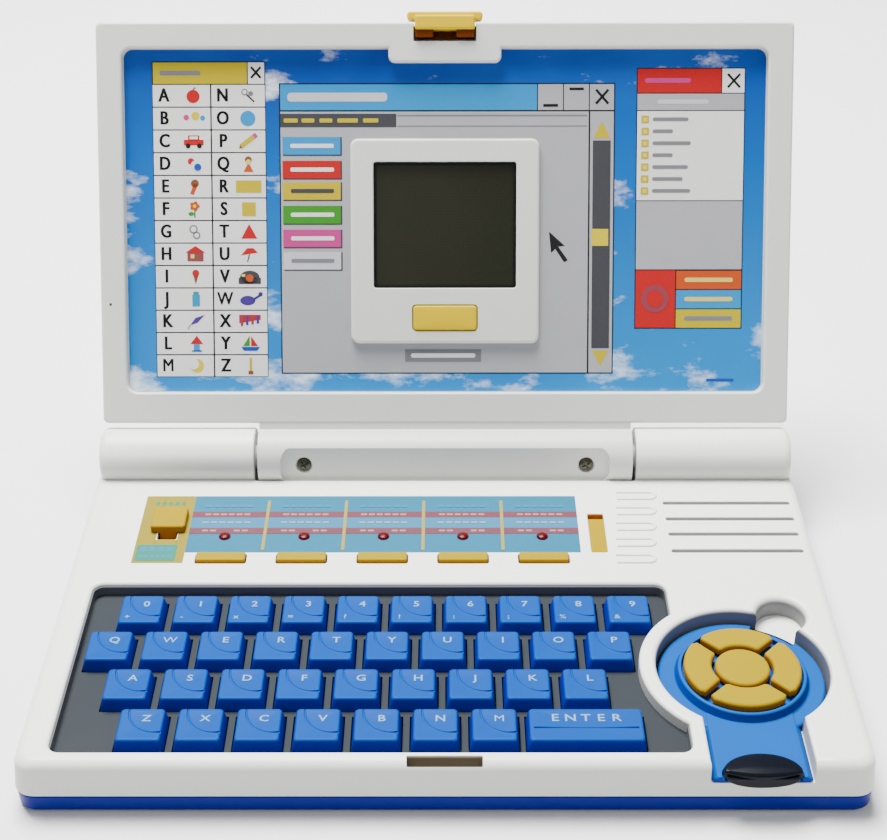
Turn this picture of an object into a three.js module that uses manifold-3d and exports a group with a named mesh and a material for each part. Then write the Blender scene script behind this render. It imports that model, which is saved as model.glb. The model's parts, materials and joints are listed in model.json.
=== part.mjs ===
// Toy laptop computer: base with keyboard, theme buttons and dock, removable round mouse, hinged lid.
// Millimetres, +Z up, front of the toy towards -Y, table plane at z = 0, x = 0 on the centre line.
// It is drawn with y = 0 where the casing's flat top begins, then moved so that the origin lies under
// the middle of the open toy.
import * as THREE from 'three';
import { mergeVertices } from 'three/addons/utils/BufferGeometryUtils.js';
import Module from 'manifold-3d';

const wasm = await Module();
wasm.setup();

// ---------------------------------------------------------------- driving dimensions
const BASE_WIDTH = 277;            // across the widest line of the casing
const BASE_DEPTH = 179;            // front lip to the back of the hinge barrels
const BASE_HEIGHT = 21;            // table to the flat top of the casing
const FRONT_Y = -7.8;              // foremost line of the casing
const TRAY_TOP = 7.6;              // parting line between tray and casing
const FOOT = 0.5;                  // rubber feet lift the tray off the table
const WALL = 2.2;                  // moulded wall thickness
const GAP = 0.3;                   // clearance between fixed neighbours
const SLIDE = 0.4;                 // clearance round moving parts
const CORNER = 7;                  // plan radius of the base corners
const SEG = 5;                     // steps in a quarter round

const HINGE_R = 11.4;              // hinge barrel radius
const HINGE_UP = 4;                // hinge axis above the casing top
const HINGE_HALF = 74;             // half length of the middle barrel, which belongs to the lid
const BARREL_IN = 2.5;             // outer barrels stop this far inside the casing's side
const TRUNNION_R = 5;              // stub axle at each end of the middle barrel
const TRUNNION_LEN = 10;
const BARREL_BORE = 6;             // hollow of the middle barrel
const BARREL_FLAT = 8.8;           // hinge axis to the screwed flat on the barrel
const FLAT_TILT = 17;              // degrees the flat looks down from the bezel's direction
const FLAT_LEN = 130.6;
const SCREW_X = 55.5;
const SCREW_R = 1.6;
const OPEN_DEG = 117.5;            // lid opening angle in the rest position

const LID_INSET = 3.2;             // lid side inside the widest line of the casing
const LID_OVER = 1.8;              // closed lid beyond the front of the casing
const LID_FOOT = 13.4;             // hinge axis to the hinge-side edge
const LID_FACE = 3.2;              // face of the bezel in front of the hinge axis
const LID_THICK = 15;
const LID_SPLIT = 6.2;             // bezel face to the parting line of the two shells
const LID_CORNER = 3;
const BEZEL_SIDE = 9.8;            // width of the bezel at the sides
const BEZEL_LOW = 12.2;            // width of the bezel at the hinge side
const BEZEL_TOP = 9.8;             // width of the bezel at the free edge
const PICTURE_DEPTH = 4;           // picture floor below the bezel face

const LCD_FRAME = [74, 80];        // raised frame round the display
const LCD_FRAME_UP = 2.4;          // its height over the picture floor
const LCD_WINDOW = [56, 49.2];
const LCD_FRAME_LOW = 31.5;        // hinge-side edge of the lid to the frame
const WINDOW_LOW = 53.3;           // hinge-side edge of the lid to the window
const CONTRAST = [25, 9.6];
const CONTRAST_LOW = 36.8;

const KEY_PITCH = [19.18, 19.45];
const KEY_TOP = [13.8, 14.2];
const KEY_FOOT = [16.2, 16.4];
const KEY_HEIGHT = 4.9;            // key top above the deck
const KEY_TRAVEL = 2.2;
const ENTER_TOP = 36.4;            // width of the ENTER key top
const FRONT_ROW_Y = 11.65;
const ROW_START = [19.4, 11.2, 20.6, 28.1];  // left wall of the well to the first key of each row
const ROW_KEYS = ['0123456789', 'qwertyuiop', 'asdfghjkl', 'zxcvbnm'];
const ENTER_START = 173;           // left wall of the well to the middle of ENTER

const WELL_SIDE = 11.5;            // casing side to the keyboard well
const WELL_END = 21.5;             // right end of the well to the dock's centre
const WELL_Y = [-0.6, 84.3];
const WELL_CORNER = 4;
const WELL_DEPTH = 5;              // casing top to the keyboard deck
const DECK_THICK = 2;

const DOCK_SIDE = 37.5;            // casing side to the dock's centre
const DOCK_Y = 40;
const DOCK_R = 29.2;
const DOCK_LAND = 5.8;             // width of the rim between keyboard and dock
const DOCK_DEPTH = 11.4;
const NECK_HALF = 16.6;            // half width of the dock's front channel
const NECK_DEPTH = 7.6;            // casing top to the floor of the channel
const RECESS_AT = [17.5, 27];      // dock centre to the finger recess
const RECESS_R = 8.4;
const RECESS_DEPTH = 8;

const DISC_PLAY = 0.8;             // dock wall to the mouse
const DISC_DOWN = 5.4;             // casing top to the mouse's rim
const PLATE_R = 21.8;              // raised platform carrying the pad
const PLATE_FLARE = 1.3;           // its side spreads by this much towards the rim
const PLATE_UP = 3.2;
const PAD_R = 19.9;
const PAD_RING = 10.4;             // inner radius of the four direction buttons
const PAD_CENTRE = 9.3;
const PAD_UP = 2.2;
const PAD_TRAVEL = 1.2;
const PAD_SPLIT = 2.2;             // gap between neighbouring direction buttons
const SELECT_HALF = 12.6;          // half length of the lens-shaped button
const SELECT_TRAVEL = 0.8;
const SELECT_UP = 2.6;             // its top above the neck
const NECK_UP = 0.6;               // neck above the mouse's rim
const NECK_CHAMFER = 1.6;

const THEME_START = 55.8;          // casing side to the first theme button
const THEME_PITCH = 29.8;
const THEME = [18.2, 5];
const THEME_Y = 98.7;
const THEME_UP = 1.4;
const THEME_TRAVEL = 1;
const DOME_Y = 112;
const DOME_R = 2;
const DOME_UP = 1;

const MODE_SIDE = 34.1;            // casing side to the mode switch
const MODE_SLOT = [117.4, 7.4, 14];
const MODE_KNOB = [13, 12.6, 3.2];
const MODE_TRAVEL = 3.5;
const POWER_STEP = 20.9;           // last theme button to the power switch
const POWER_SLOT = [114.5, 6.1, 24];
const POWER_KNOB = [5.2, 21, 1.2];
const VENT_Y = [103.4, 113.7, 123.3, 133.5];
const VENT_SIDE = 29.9;            // casing side to the middle of the vents
const VENT = [49, 2.2];

const LATCH_HALF = 11.6;           // half width of the latch block
const LATCH_BAR = 14.7;            // half width of the thumb bar
const LATCH_PRONG = [4.5, 11.4];   // the two prongs, from the centre line
const PRONG_UP = 1.4;              // prongs in front of the bezel face
const LATCH_UP = 2.4;              // block in front of the bezel face
const LATCH_SLOT_Y = [-6.2, -2.8];
const LATCH_PIVOT = [2.2, 6.2];    // pivot below the lid's free edge and below the bezel face

// ---------------------------------------------------------------- derived positions
const TOP = BASE_HEIGHT;
const BACK_Y = FRONT_Y + BASE_DEPTH;
const HINGE_Y = BACK_Y - HINGE_R;
const HINGE_Z = TOP + HINGE_UP;
const HALF = BASE_WIDTH / 2;
const DOCK = [HALF - DOCK_SIDE, DOCK_Y];
const DOCK_RIM = DOCK_R + DOCK_LAND;
const RECESS = [DOCK[0] + RECESS_AT[0], DOCK[1] + RECESS_AT[1]];
const DISC_R = DOCK_R - DISC_PLAY;
const WELL = { x0: -HALF + WELL_SIDE, x1: DOCK[0] - WELL_END, y0: WELL_Y[0], y1: WELL_Y[1], r: WELL_CORNER };
const ROW_Y = [3, 2, 1, 0].map((n) => FRONT_ROW_Y + n * KEY_PITCH[1]);
const THEME_X = [0, 1, 2, 3, 4].map((n) => -HALF + THEME_START + n * THEME_PITCH);
const MODE_X = -HALF + MODE_SIDE;
const POWER_X = THEME_X[4] + POWER_STEP;
const VENT_X = HALF - VENT_SIDE;
const DECK_LEGS = [
  [WELL.x0 + 5, 70],
  [WELL.x0 + 5, 31.1],
  [WELL.x0 + 5, 11],
  [WELL.x1 - 7.5, 8],
  [WELL.x1 - 2.5, 76],
];
const LID_WIDTH = BASE_WIDTH - 2 * LID_INSET;
const LID_LEN = HINGE_Y - FRONT_Y - LID_FOOT + LID_OVER;  // hinge-side edge of the lid to its free edge
const DECK_TOP = TOP - WELL_DEPTH;
const DECK_LOW = DECK_TOP - DECK_THICK;
const BOARD = [4.9, 6.5];
const LID_Y0 = LID_FOOT;
const LID_Y1 = LID_FOOT + LID_LEN;
const SPLIT = LID_FACE - LID_SPLIT;
const LID_BACK = LID_FACE - LID_THICK;
const FLOOR = LID_FACE - PICTURE_DEPTH;
const FRAME_FACE = FLOOR + LCD_FRAME_UP;

// ---------------------------------------------------------------- helpers
function solid(geometry) {
  const g = geometry.clone();
  for (const name of ['normal', 'uv']) {
    if (g.getAttribute(name)) g.deleteAttribute(name);
  }
  const m = mergeVertices(g, 1e-4);
  return new wasm.Manifold(new wasm.Mesh({
    numProp: 3,
    vertProperties: new Float32Array(m.getAttribute('position').array),
    triVerts: new Uint32Array(m.index.array),
  }));
}

function toGeometry(manifold) {
  const mesh = manifold.getMesh();
  const g = new THREE.BufferGeometry();
  g.setAttribute('position', new THREE.BufferAttribute(new Float32Array(mesh.vertProperties), 3));
  g.setIndex(new THREE.BufferAttribute(new Uint32Array(mesh.triVerts), 1));
  const flat = g.toNonIndexed();
  flat.computeVertexNormals();
  return flat;
}

// counter-clockwise rounded rectangle
function ring(x0, x1, y0, y1, r, seg = SEG) {
  const pts = [];
  const corners = [[x1 - r, y1 - r, 0], [x0 + r, y1 - r, 1], [x0 + r, y0 + r, 2], [x1 - r, y0 + r, 3]];
  for (const [cx, cy, q] of corners) {
    for (let i = 0; i <= seg; i++) {
      const a = (q + i / seg) * Math.PI / 2;
      pts.push([cx + r * Math.cos(a), cy + r * Math.sin(a)]);
    }
  }
  return pts;
}

// closed body through rings of equal length, each given as { pts, z }, lowest first
function loft(rings) {
  const n = rings[0].pts.length;
  const pos = [];
  const idx = [];
  for (const { pts, z } of rings) {
    for (const [x, y] of pts) pos.push(x, y, z);
  }
  for (let k = 0; k + 1 < rings.length; k++) {
    for (let i = 0; i < n; i++) {
      const j = (i + 1) % n;
      const a = k * n;
      const b = a + n;
      idx.push(a + i, a + j, b + j, a + i, b + j, b + i);
    }
  }
  const last = (rings.length - 1) * n;
  for (let i = 1; i + 1 < n; i++) {
    idx.push(0, i + 1, i);
    idx.push(last, last + i, last + i + 1);
  }
  const g = new THREE.BufferGeometry();
  g.setAttribute('position', new THREE.BufferAttribute(new Float32Array(pos), 3));
  g.setIndex(idx);
  return solid(g);
}

// upright prism over any outline
function prism(pts, z0, z1) {
  const shape = new THREE.Shape(pts.map(([x, y]) => new THREE.Vector2(x, y)));
  const g = new THREE.ExtrudeGeometry(shape, { depth: z1 - z0, bevelEnabled: false });
  g.translate(0, 0, z0);
  return solid(g);
}

function block(x0, x1, y0, y1, z0, z1) {
  const g = new THREE.BoxGeometry(x1 - x0, y1 - y0, z1 - z0);
  g.translate((x0 + x1) / 2, (y0 + y1) / 2, (z0 + z1) / 2);
  return solid(g);
}

function rounded(x0, x1, y0, y1, z0, z1, r, seg = SEG) {
  return loft([{ pts: ring(x0, x1, y0, y1, r, seg), z: z0 }, { pts: ring(x0, x1, y0, y1, r, seg), z: z1 }]);
}

// upright cylinder or cone
function post(x, y, z0, z1, r, top = r, seg = 20) {
  const g = new THREE.CylinderGeometry(top, r, z1 - z0, seg);
  g.rotateX(Math.PI / 2);
  g.translate(x, y, (z0 + z1) / 2);
  return solid(g);
}

// cylinder along x
function rod(x0, x1, y, z, r, seg = 36) {
  const g = new THREE.CylinderGeometry(r, r, x1 - x0, seg);
  g.rotateZ(-Math.PI / 2);
  g.translate((x0 + x1) / 2, y, z);
  return solid(g);
}

function circle(cx, cy, r, n) {
  const pts = [];
  for (let i = 0; i < n; i++) {
    const a = (i + 0.5) / n * 2 * Math.PI;
    pts.push([cx + r * Math.cos(a), cy + r * Math.sin(a)]);
  }
  return pts;
}

function united(list) {
  return list.reduce((a, b) => a.add(b));
}

const group = new THREE.Group();
group.name = 'toy_laptop';

function place(name, manifold, colour, roughness = 0.4, metalness = 0) {
  const material = new THREE.MeshStandardMaterial({ color: colour, roughness, metalness });
  const mesh = new THREE.Mesh(toGeometry(manifold), material);
  mesh.name = name;
  group.add(mesh);
}

const WHITE = '#e8e8e4';
const GREY = '#6f7a80';
const BLUE = '#1e82e6';
const DEEP_BLUE = '#123cae';
const YELLOW = '#f8d816';
const BLACK = '#20222c';

// ---------------------------------------------------------------- base: shared outlines
// the casing's sides lean in slightly and round over into the flat top
const SIDE = [
  [TRAY_TOP + 0.2, 0],
  [TOP - 4, 0.9],
  [TOP - 2.3, 1.4],
  [TOP - 1.1, 2.2],
  [TOP - 0.35, 3.2],
  [TOP, 4.4],
];

function baseRing(inset, z) {
  const r = Math.max(CORNER - inset * 0.5, 1);
  return { pts: ring(-HALF + inset, HALF - inset, FRONT_Y + inset, BACK_Y - inset, r), z };
}

// keyboard well: a rectangle whose right end gives way to the rim of the dock
function wellShape(grow, z0, z1) {
  const { x0, x1, y0, y1, r } = WELL;
  const slab = rounded(x0 - grow, x1 + grow, y0 - grow, y1 + grow, z0, z1, r + grow);
  return slab.subtract(post(DOCK[0], DOCK[1], z0 - 1, z1 + 1, DOCK_RIM - grow, DOCK_RIM - grow, 64));
}

// dock for the mouse: round well, channel to the front, finger recess reaching into the well
function dockShape(grow, lift) {
  const bottom = lift;
  const round = post(DOCK[0], DOCK[1], TOP - DOCK_DEPTH + bottom, TOP + 5, DOCK_R + grow, DOCK_R + grow, 64);
  const neck = NECK_HALF + grow;
  const floor = TOP - NECK_DEPTH + bottom;
  const channel = block(DOCK[0] - neck, DOCK[0] + neck, FRONT_Y - 3, DOCK[1], floor, TOP + 5);
  const finger = RECESS_R + grow;
  const recess = post(RECESS[0], RECESS[1], TOP - RECESS_DEPTH + bottom, TOP + 5, finger, finger, 32);
  return united([round, channel, recess]);
}

// ---------------------------------------------------------------- bottom tray
{
  const outer = loft([baseRing(1.4, FOOT), baseRing(0.5, FOOT + 0.8), baseRing(0.3, TRAY_TOP - 0.1)]);
  const inner = loft([baseRing(WALL + 0.9, FOOT + 2), baseRing(WALL + 0.9, TRAY_TOP + 1)]);
  const lipOut = loft([baseRing(WALL + 0.5, TRAY_TOP - 1.5), baseRing(WALL + 0.5, TRAY_TOP + 2.4)]);
  const lipIn = loft([baseRing(WALL + 2.2, FOOT + 2), baseRing(WALL + 2.2, TRAY_TOP + 3)]);
  let tray = outer.subtract(inner).add(lipOut.subtract(lipIn));
  for (const x of [-HALF + 22, HALF - 22]) {
    for (const y of [FRONT_Y + 20, BACK_Y - 20]) {
      tray = tray.add(post(x, y, 0, FOOT + 0.5, 5.6, 6.4, 24));
    }
  }
  const under = [[WELL.x0 + 8, 6], [WELL.x0 + 8, 130], [DOCK[0] - 51, 6], [DOCK[0] - 51, 130], [-34, 92]];
  for (const [x, y] of under) {
    tray = tray.add(post(x, y, FOOT + 1.5, BOARD[0] - GAP, 3.2, 3, 16));
  }
  place('base_bottom_tray', tray, DEEP_BLUE, 0.35);
}

// ---------------------------------------------------------------- top casing
{
  const outer = loft(SIDE.map(([z, inset]) => baseRing(inset, z)));
  const barrelEnd = HALF - BARREL_IN;
  let casing = outer;
  for (const side of [-1, 1]) {
    const a = side * (HINGE_HALF + SLIDE);
    const b = side * barrelEnd;
    const profile = [[0, 0], [HINGE_R, 0], [HINGE_R, barrelEnd - HINGE_HALF - SLIDE - 3]];
    profile.push([HINGE_R - 1, barrelEnd - HINGE_HALF - SLIDE - 0.9]);
    profile.push([HINGE_R - 3, barrelEnd - HINGE_HALF - SLIDE], [0, barrelEnd - HINGE_HALF - SLIDE]);
    const lathe = new THREE.LatheGeometry(profile.map(([r, t]) => new THREE.Vector2(r, t)), 40);
    lathe.rotateZ(-Math.PI / 2);
    if (side < 0) lathe.rotateY(Math.PI);
    lathe.translate(a, HINGE_Y, HINGE_Z);
    casing = casing.add(solid(lathe));
    const skirt = block(Math.min(a, b), Math.max(a, b), HINGE_Y, BACK_Y - 1.6, TOP - 5, HINGE_Z);
    const inBarrel = rod(Math.min(a, b), Math.max(a, b), HINGE_Y, HINGE_Z, HINGE_R - 0.01, 40);
    casing = casing.add(skirt.intersect(inBarrel));
  }
  // trough in which the lid's barrel turns
  const trough = HINGE_R + 0.8;
  casing = casing.subtract(rod(-HINGE_HALF - SLIDE, HINGE_HALF + SLIDE, HINGE_Y, HINGE_Z, trough, 40));

  let hollow = loft([
    baseRing(WALL, TRAY_TOP - 1),
    baseRing(WALL + 0.9, TOP - 4),
    baseRing(WALL + 2, TOP - WALL),
  ]);
  hollow = hollow.subtract(rod(-HINGE_HALF - 3, HINGE_HALF + 3, HINGE_Y, HINGE_Z, trough + WALL, 40));
  hollow = hollow.subtract(wellShape(WALL, DECK_TOP + GAP, TOP));
  hollow = hollow.subtract(dockShape(WALL, -WALL));
  casing = casing.subtract(hollow);
  for (const side of [-1, 1]) {
    const span = [side * (HINGE_HALF + TRUNNION_LEN + 4), side * (HALF - 7)].sort((p, q) => p - q);
    casing = casing.subtract(rod(span[0], span[1], HINGE_Y, HINGE_Z, HINGE_R - WALL, 32));
    const bore = [side * (HINGE_HALF - 1), side * (HINGE_HALF + TRUNNION_LEN + 1)].sort((p, q) => p - q);
    casing = casing.subtract(rod(bore[0], bore[1], HINGE_Y, HINGE_Z, TRUNNION_R + SLIDE, 32));
  }

  casing = casing.subtract(wellShape(0, TRAY_TOP - 2, TOP + 1));
  casing = casing.subtract(dockShape(0, 0));
  for (const x of THEME_X) {
    const [w, d] = THEME;
    const hole = [x - w / 2 - SLIDE, x + w / 2 + SLIDE, THEME_Y - d / 2 - SLIDE, THEME_Y + d / 2 + SLIDE];
    casing = casing.subtract(rounded(...hole, TOP - WALL - 1, TOP + 1, 1, 3));
    casing = casing.subtract(post(x, DOME_Y, TOP - WALL - 1, TOP + 1, DOME_R + SLIDE));
  }
  for (const [x, y, w, d] of [[MODE_X, ...MODE_SLOT], [POWER_X, ...POWER_SLOT]]) {
    const hole = [x - w / 2, x + w / 2, y - d / 2, y + d / 2];
    casing = casing.subtract(rounded(...hole, TOP - WALL - 1, TOP + 1, 0.8, 3));
  }
  for (const y of VENT_Y) {
    const [w, d] = VENT;
    const vent = [VENT_X - w / 2, VENT_X + w / 2, y - d / 2, y + d / 2];
    casing = casing.subtract(rounded(...vent, TOP - WALL - 1, TOP + 1, 1, 3));
  }
  const slot = [-LATCH_HALF - 0.5, LATCH_HALF + 0.5, LATCH_SLOT_Y[0], LATCH_SLOT_Y[1]];
  casing = casing.subtract(block(...slot, TOP - WALL - 4, TOP + 1));
  place('base_top_casing', casing, WHITE, 0.35);
}

// ---------------------------------------------------------------- keys and keyboard deck
const keys = [];
ROW_KEYS.forEach((letters, row) => {
  [...letters].forEach((c, i) => {
    keys.push({ name: `key_${c}`, x: WELL.x0 + ROW_START[row] + i * KEY_PITCH[0], y: ROW_Y[row], extra: 0 });
  });
});
keys.push({ name: 'key_enter', x: WELL.x0 + ENTER_START, y: ROW_Y[3], extra: ENTER_TOP - KEY_TOP[0] });

{
  let deck = wellShape(WALL - 0.6, DECK_LOW, DECK_TOP);
  for (const { x, y, extra } of keys) {
    const w = (KEY_FOOT[0] + extra) / 2 + SLIDE;
    const d = KEY_FOOT[1] / 2 + SLIDE;
    deck = deck.subtract(block(x - w, x + w, y - d, y + d, DECK_LOW - 1, DECK_TOP + 1));
  }
  for (const [x, y] of DECK_LEGS) {
    deck = deck.add(post(x, y, BOARD[1] + GAP, DECK_LOW + 0.5, 2, 2, 12));
  }
  place('keyboard_deck', deck, GREY, 0.55);
}

for (const { name, x, y, extra } of keys) {
  const shape = (size, z, r) => {
    const w = (size[0] + extra) / 2;
    return { pts: ring(x - w, x + w, y - size[1] / 2, y + size[1] / 2, r, 2), z };
  };
  const shoulder = [KEY_TOP[0] + 0.5, KEY_TOP[1] + 0.5];
  const cap = loft([
    shape(KEY_FOOT, DECK_LOW - 1.2, 1),
    shape(KEY_FOOT, DECK_TOP, 1),
    shape(shoulder, DECK_TOP + KEY_HEIGHT - 0.5, 1.2),
    shape(KEY_TOP, DECK_TOP + KEY_HEIGHT, 1.2),
  ]);
  const flange = [KEY_FOOT[0] + 1.9, KEY_FOOT[1] + 1.9];
  const w = (flange[0] + extra) / 2;
  const d = flange[1] / 2;
  const plate = block(x - w, x + w, y - d, y + d, DECK_LOW - 1.5, DECK_LOW - GAP);
  const stem = post(x, y, BOARD[1] + GAP + KEY_TRAVEL, DECK_LOW - 1, 2.4, 2.4, 10);
  place(name, united([cap, plate, stem]), BLUE, 0.32);
}

// ---------------------------------------------------------------- main board with lamps and loudspeaker
{
  let board = block(WELL.x0, DOCK[0] - 21, 2, 136, ...BOARD);
  board = board.add(block(DOCK[0] - 31, HALF - 10.5, 96, 136, ...BOARD));
  board = board.add(post(VENT_X - 0.6, 117, BOARD[1] - 0.5, TOP - WALL - GAP - 2, 17, 17, 40));
  for (const x of THEME_X) {
    board = board.add(post(x, DOME_Y, BOARD[1] - 0.5, TOP + DOME_UP - 1, DOME_R, DOME_R, 12));
    board = board.add(post(x, DOME_Y, TOP + DOME_UP - 1, TOP + DOME_UP, DOME_R, DOME_R * 0.5, 12));
  }
  board = board.add(block(-26, -8, 84.5, 92, BOARD[1] - 0.5, BOARD[1] + 3));
  const cup = DOCK_R + WALL + 2;
  board = board.subtract(post(...DOCK, BOARD[0] - 1, BOARD[1] + 1, cup, cup, 40));
  place('main_board', board, '#1d6b3a', 0.5);
}

// ---------------------------------------------------------------- theme buttons and slide switches
THEME_X.forEach((x, i) => {
  const [w, d] = THEME;
  const edge = (inset) => {
    const [halfW, halfD] = [w / 2 - inset, d / 2 - inset];
    return ring(x - halfW, x + halfW, THEME_Y - halfD, THEME_Y + halfD, 0.8, 2);
  };
  const cap = loft([
    { pts: edge(0), z: TOP - WALL - 1 },
    { pts: edge(0), z: TOP + THEME_UP - 0.5 },
    { pts: edge(0.5), z: TOP + THEME_UP },
  ]);
  const under = TOP - WALL - GAP;
  const flangeY = [THEME_Y - d / 2 - 1.2, THEME_Y + d / 2 + 1.2];
  const flange = block(x - w / 2 - 1, x + w / 2 + 1, ...flangeY, under - 1.2, under);
  const stem = post(x, THEME_Y, BOARD[1] + GAP + THEME_TRAVEL, under - 0.8, 1.8, 1.8, 12);
  place(`theme_button_${i + 1}`, united([cap, flange, stem]), YELLOW, 0.35);
});

{
  const x = MODE_X;
  const [y, w, run] = MODE_SLOT;
  const [kw, kd, kh] = MODE_KNOB;
  const front = y - run / 2 + SLIDE + MODE_TRAVEL;
  const plate = [x - kw / 2, x + kw / 2, front, front + kd];
  const cap = loft([
    { pts: ring(...plate, 1, 3), z: TOP + GAP },
    { pts: ring(...plate, 1, 3), z: TOP + kh - 0.7 },
    { pts: ring(plate[0] + 0.7, plate[1] - 0.7, plate[2] + 0.7, plate[3] - 0.7, 1, 3), z: TOP + kh },
  ]);
  const stem = block(x - w / 2 + SLIDE, x + w / 2 - SLIDE, front, front + 6, TOP - WALL - 1.5, TOP + 0.6);
  const foot = block(x - w / 2 - 1.5, x + w / 2 + 1.5, front, front + 6, TOP - WALL - 1.8, TOP - WALL - GAP);
  place('mode_slider', united([cap, stem, foot]), YELLOW, 0.35);
}
{
  const x = POWER_X;
  const [y, w, d] = POWER_SLOT;
  const [kw, kd, low] = POWER_KNOB;
  const y0 = y - d / 2 + SLIDE;
  const x0 = x - w / 2 + SLIDE;
  const cap = rounded(x0, x0 + kw, y0, y0 + kd, TOP - WALL - 1.5, TOP - low + 0.8, 0.7, 3);
  const under = TOP - WALL - GAP;
  const foot = block(x - w / 2 - 1.2, x + w / 2 + 1.2, y0 + 3, y0 + kd - 3, under - 1.5, under);
  place('power_slider', cap.add(foot), YELLOW, 0.35);
}

// ---------------------------------------------------------------- mouse with its buttons
{
  const rim = TOP - DISC_DOWN;
  const low = TOP - DOCK_DEPTH + GAP;
  const plateTop = rim + PLATE_UP;
  const disc = loft([
    { pts: circle(...DOCK, DISC_R - 1, 64), z: low },
    { pts: circle(...DOCK, DISC_R, 64), z: low + 1 },
    { pts: circle(...DOCK, DISC_R, 64), z: rim - 0.8 },
    { pts: circle(...DOCK, DISC_R - 0.8, 64), z: rim },
  ]);
  const platform = loft([
    { pts: circle(...DOCK, PLATE_R + PLATE_FLARE, 48), z: rim - 1 },
    { pts: circle(...DOCK, PLATE_R, 48), z: plateTop - 0.5 },
    { pts: circle(...DOCK, PLATE_R - 0.5, 48), z: plateTop },
  ]);
  const half = NECK_HALF - SLIDE;
  const front = FRONT_Y + 0.6;
  const neckLow = TOP - NECK_DEPTH + GAP;
  const neckTop = rim + NECK_UP;
  const pocketFloor = neckLow + 0.6;
  const arm = (inset, z) => {
    const width = half - inset;
    return { pts: ring(DOCK[0] - width, DOCK[0] + width, front, DOCK[1] - 8, 1, 2), z };
  };
  const neck = loft([arm(0, neckLow), arm(0, rim), arm(NECK_CHAMFER, neckTop)]);
  let body = united([disc, neck, platform]);
  // notch that lines up with the finger recess
  const dir = [RECESS[0] - DOCK[0], RECESS[1] - DOCK[1]];
  const len = Math.hypot(...dir);
  const notch = new THREE.BoxGeometry(30, 2 * RECESS_R, 40);
  notch.translate(PLATE_R + PLATE_FLARE + 0.3 + 15, 0, 0);
  notch.rotateZ(Math.atan2(dir[1], dir[0]));
  notch.translate(DOCK[0], DOCK[1], low + 20 + (TOP - RECESS_DEPTH - low));
  body = body.subtract(solid(notch));
  // seats for the pad buttons, each with a stem hole into the hollow underside
  body = body.subtract(post(...DOCK, plateTop - 1.4, plateTop + 1, PAD_R + 0.5, PAD_R + 0.5, 48));
  body = body.subtract(post(...DOCK, low - 1, low + 2.2, PLATE_R - 3, PLATE_R - 3, 48));
  for (let k = 0; k < 4; k++) {
    const a = k * Math.PI / 2;
    const r = (PAD_R + PAD_RING) / 2;
    const at = [DOCK[0] + r * Math.cos(a), DOCK[1] + r * Math.sin(a)];
    body = body.subtract(post(...at, low - 1, TOP, 2 + SLIDE, 2 + SLIDE, 16));
  }
  body = body.subtract(post(...DOCK, low - 1, TOP, 2 + SLIDE, 2 + SLIDE, 16));
  // pocket for the lens-shaped button
  body = body.subtract(prism(lens(SLIDE), pocketFloor, TOP + 3));
  place('mouse_body', body, BLUE, 0.3);

  const seat = plateTop - 1.4 + PAD_TRAVEL + GAP;
  const padTop = plateTop + PAD_UP;
  const stemLow = low + 1.2 + PAD_TRAVEL;
  const names = ['pad_right', 'pad_up', 'pad_left', 'pad_down'];
  names.forEach((name, k) => {
    const a = k * Math.PI / 2;
    const sector = (inset) => arcPiece(a, inset);
    const cap = loft([
      { pts: sector(0), z: seat },
      { pts: sector(0), z: padTop - 0.7 },
      { pts: sector(0.7), z: padTop },
    ]);
    const r = (PAD_R + PAD_RING) / 2;
    const at = [DOCK[0] + r * Math.cos(a), DOCK[1] + r * Math.sin(a)];
    place(name, cap.add(post(...at, stemLow, seat + 0.5, 2, 2, 12)), YELLOW, 0.32);
  });
  const centre = loft([
    { pts: circle(...DOCK, PAD_CENTRE, 36), z: seat },
    { pts: circle(...DOCK, PAD_CENTRE, 36), z: padTop - 0.7 },
    { pts: circle(...DOCK, PAD_CENTRE - 0.7, 36), z: padTop },
  ]);
  place('pad_centre', centre.add(post(...DOCK, stemLow, seat + 0.5, 2, 2, 12)), YELLOW, 0.32);

  const button = loft([
    { pts: lens(0), z: pocketFloor + SELECT_TRAVEL + GAP },
    { pts: lens(0), z: neckTop + SELECT_UP - 0.8 },
    { pts: lens(-0.8), z: neckTop + SELECT_UP },
  ]);
  place('select_button', button, BLACK, 0.3);
}

// outline of one direction button: a quarter of the ring, parallel gaps on the diagonals
function arcPiece(a, inset) {
  const pts = [];
  const n = 9;
  const edge = (r) => Math.asin((PAD_SPLIT / 2 + inset) / r);
  const outer = PAD_R - inset;
  const inner = PAD_RING + inset;
  for (let i = 0; i < n; i++) {
    const lim = Math.PI / 4 - edge(outer);
    const t = a - lim + 2 * lim * i / (n - 1);
    pts.push([DOCK[0] + outer * Math.cos(t), DOCK[1] + outer * Math.sin(t)]);
  }
  for (let i = 0; i < n; i++) {
    const lim = Math.PI / 4 - edge(inner);
    const t = a + lim - 2 * lim * i / (n - 1);
    pts.push([DOCK[0] + inner * Math.cos(t), DOCK[1] + inner * Math.sin(t)]);
  }
  return pts;
}

// outline of the select button: a shallow arc towards the front, a deeper one towards the disc
function lens(grow) {
  const pts = [];
  const n = 10;
  const half = SELECT_HALF + grow;
  const mid = FRONT_Y + 0.8;
  for (let i = 0; i <= n; i++) {
    const t = -1 + 2 * i / n;
    pts.push([DOCK[0] + half * t, mid - (2 + grow) * (1 - t * t) - grow * 0.3]);
  }
  for (let i = 1; i < n; i++) {
    const t = 1 - 2 * i / n;
    pts.push([DOCK[0] + half * t, mid + (8.4 + grow) * Math.sqrt(1 - t * t * 0.97)]);
  }
  return pts;
}

// ---------------------------------------------------------------- lid, drawn flat then swung open
// local axes: x across, y from the hinge axis along the lid, z out of the bezel face
function openLid(manifold) {
  const lean = THREE.MathUtils.degToRad(180 - OPEN_DEG);
  return manifold.rotate([THREE.MathUtils.radToDeg(lean), 0, 0]).translate([0, HINGE_Y, HINGE_Z]);
}

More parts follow.
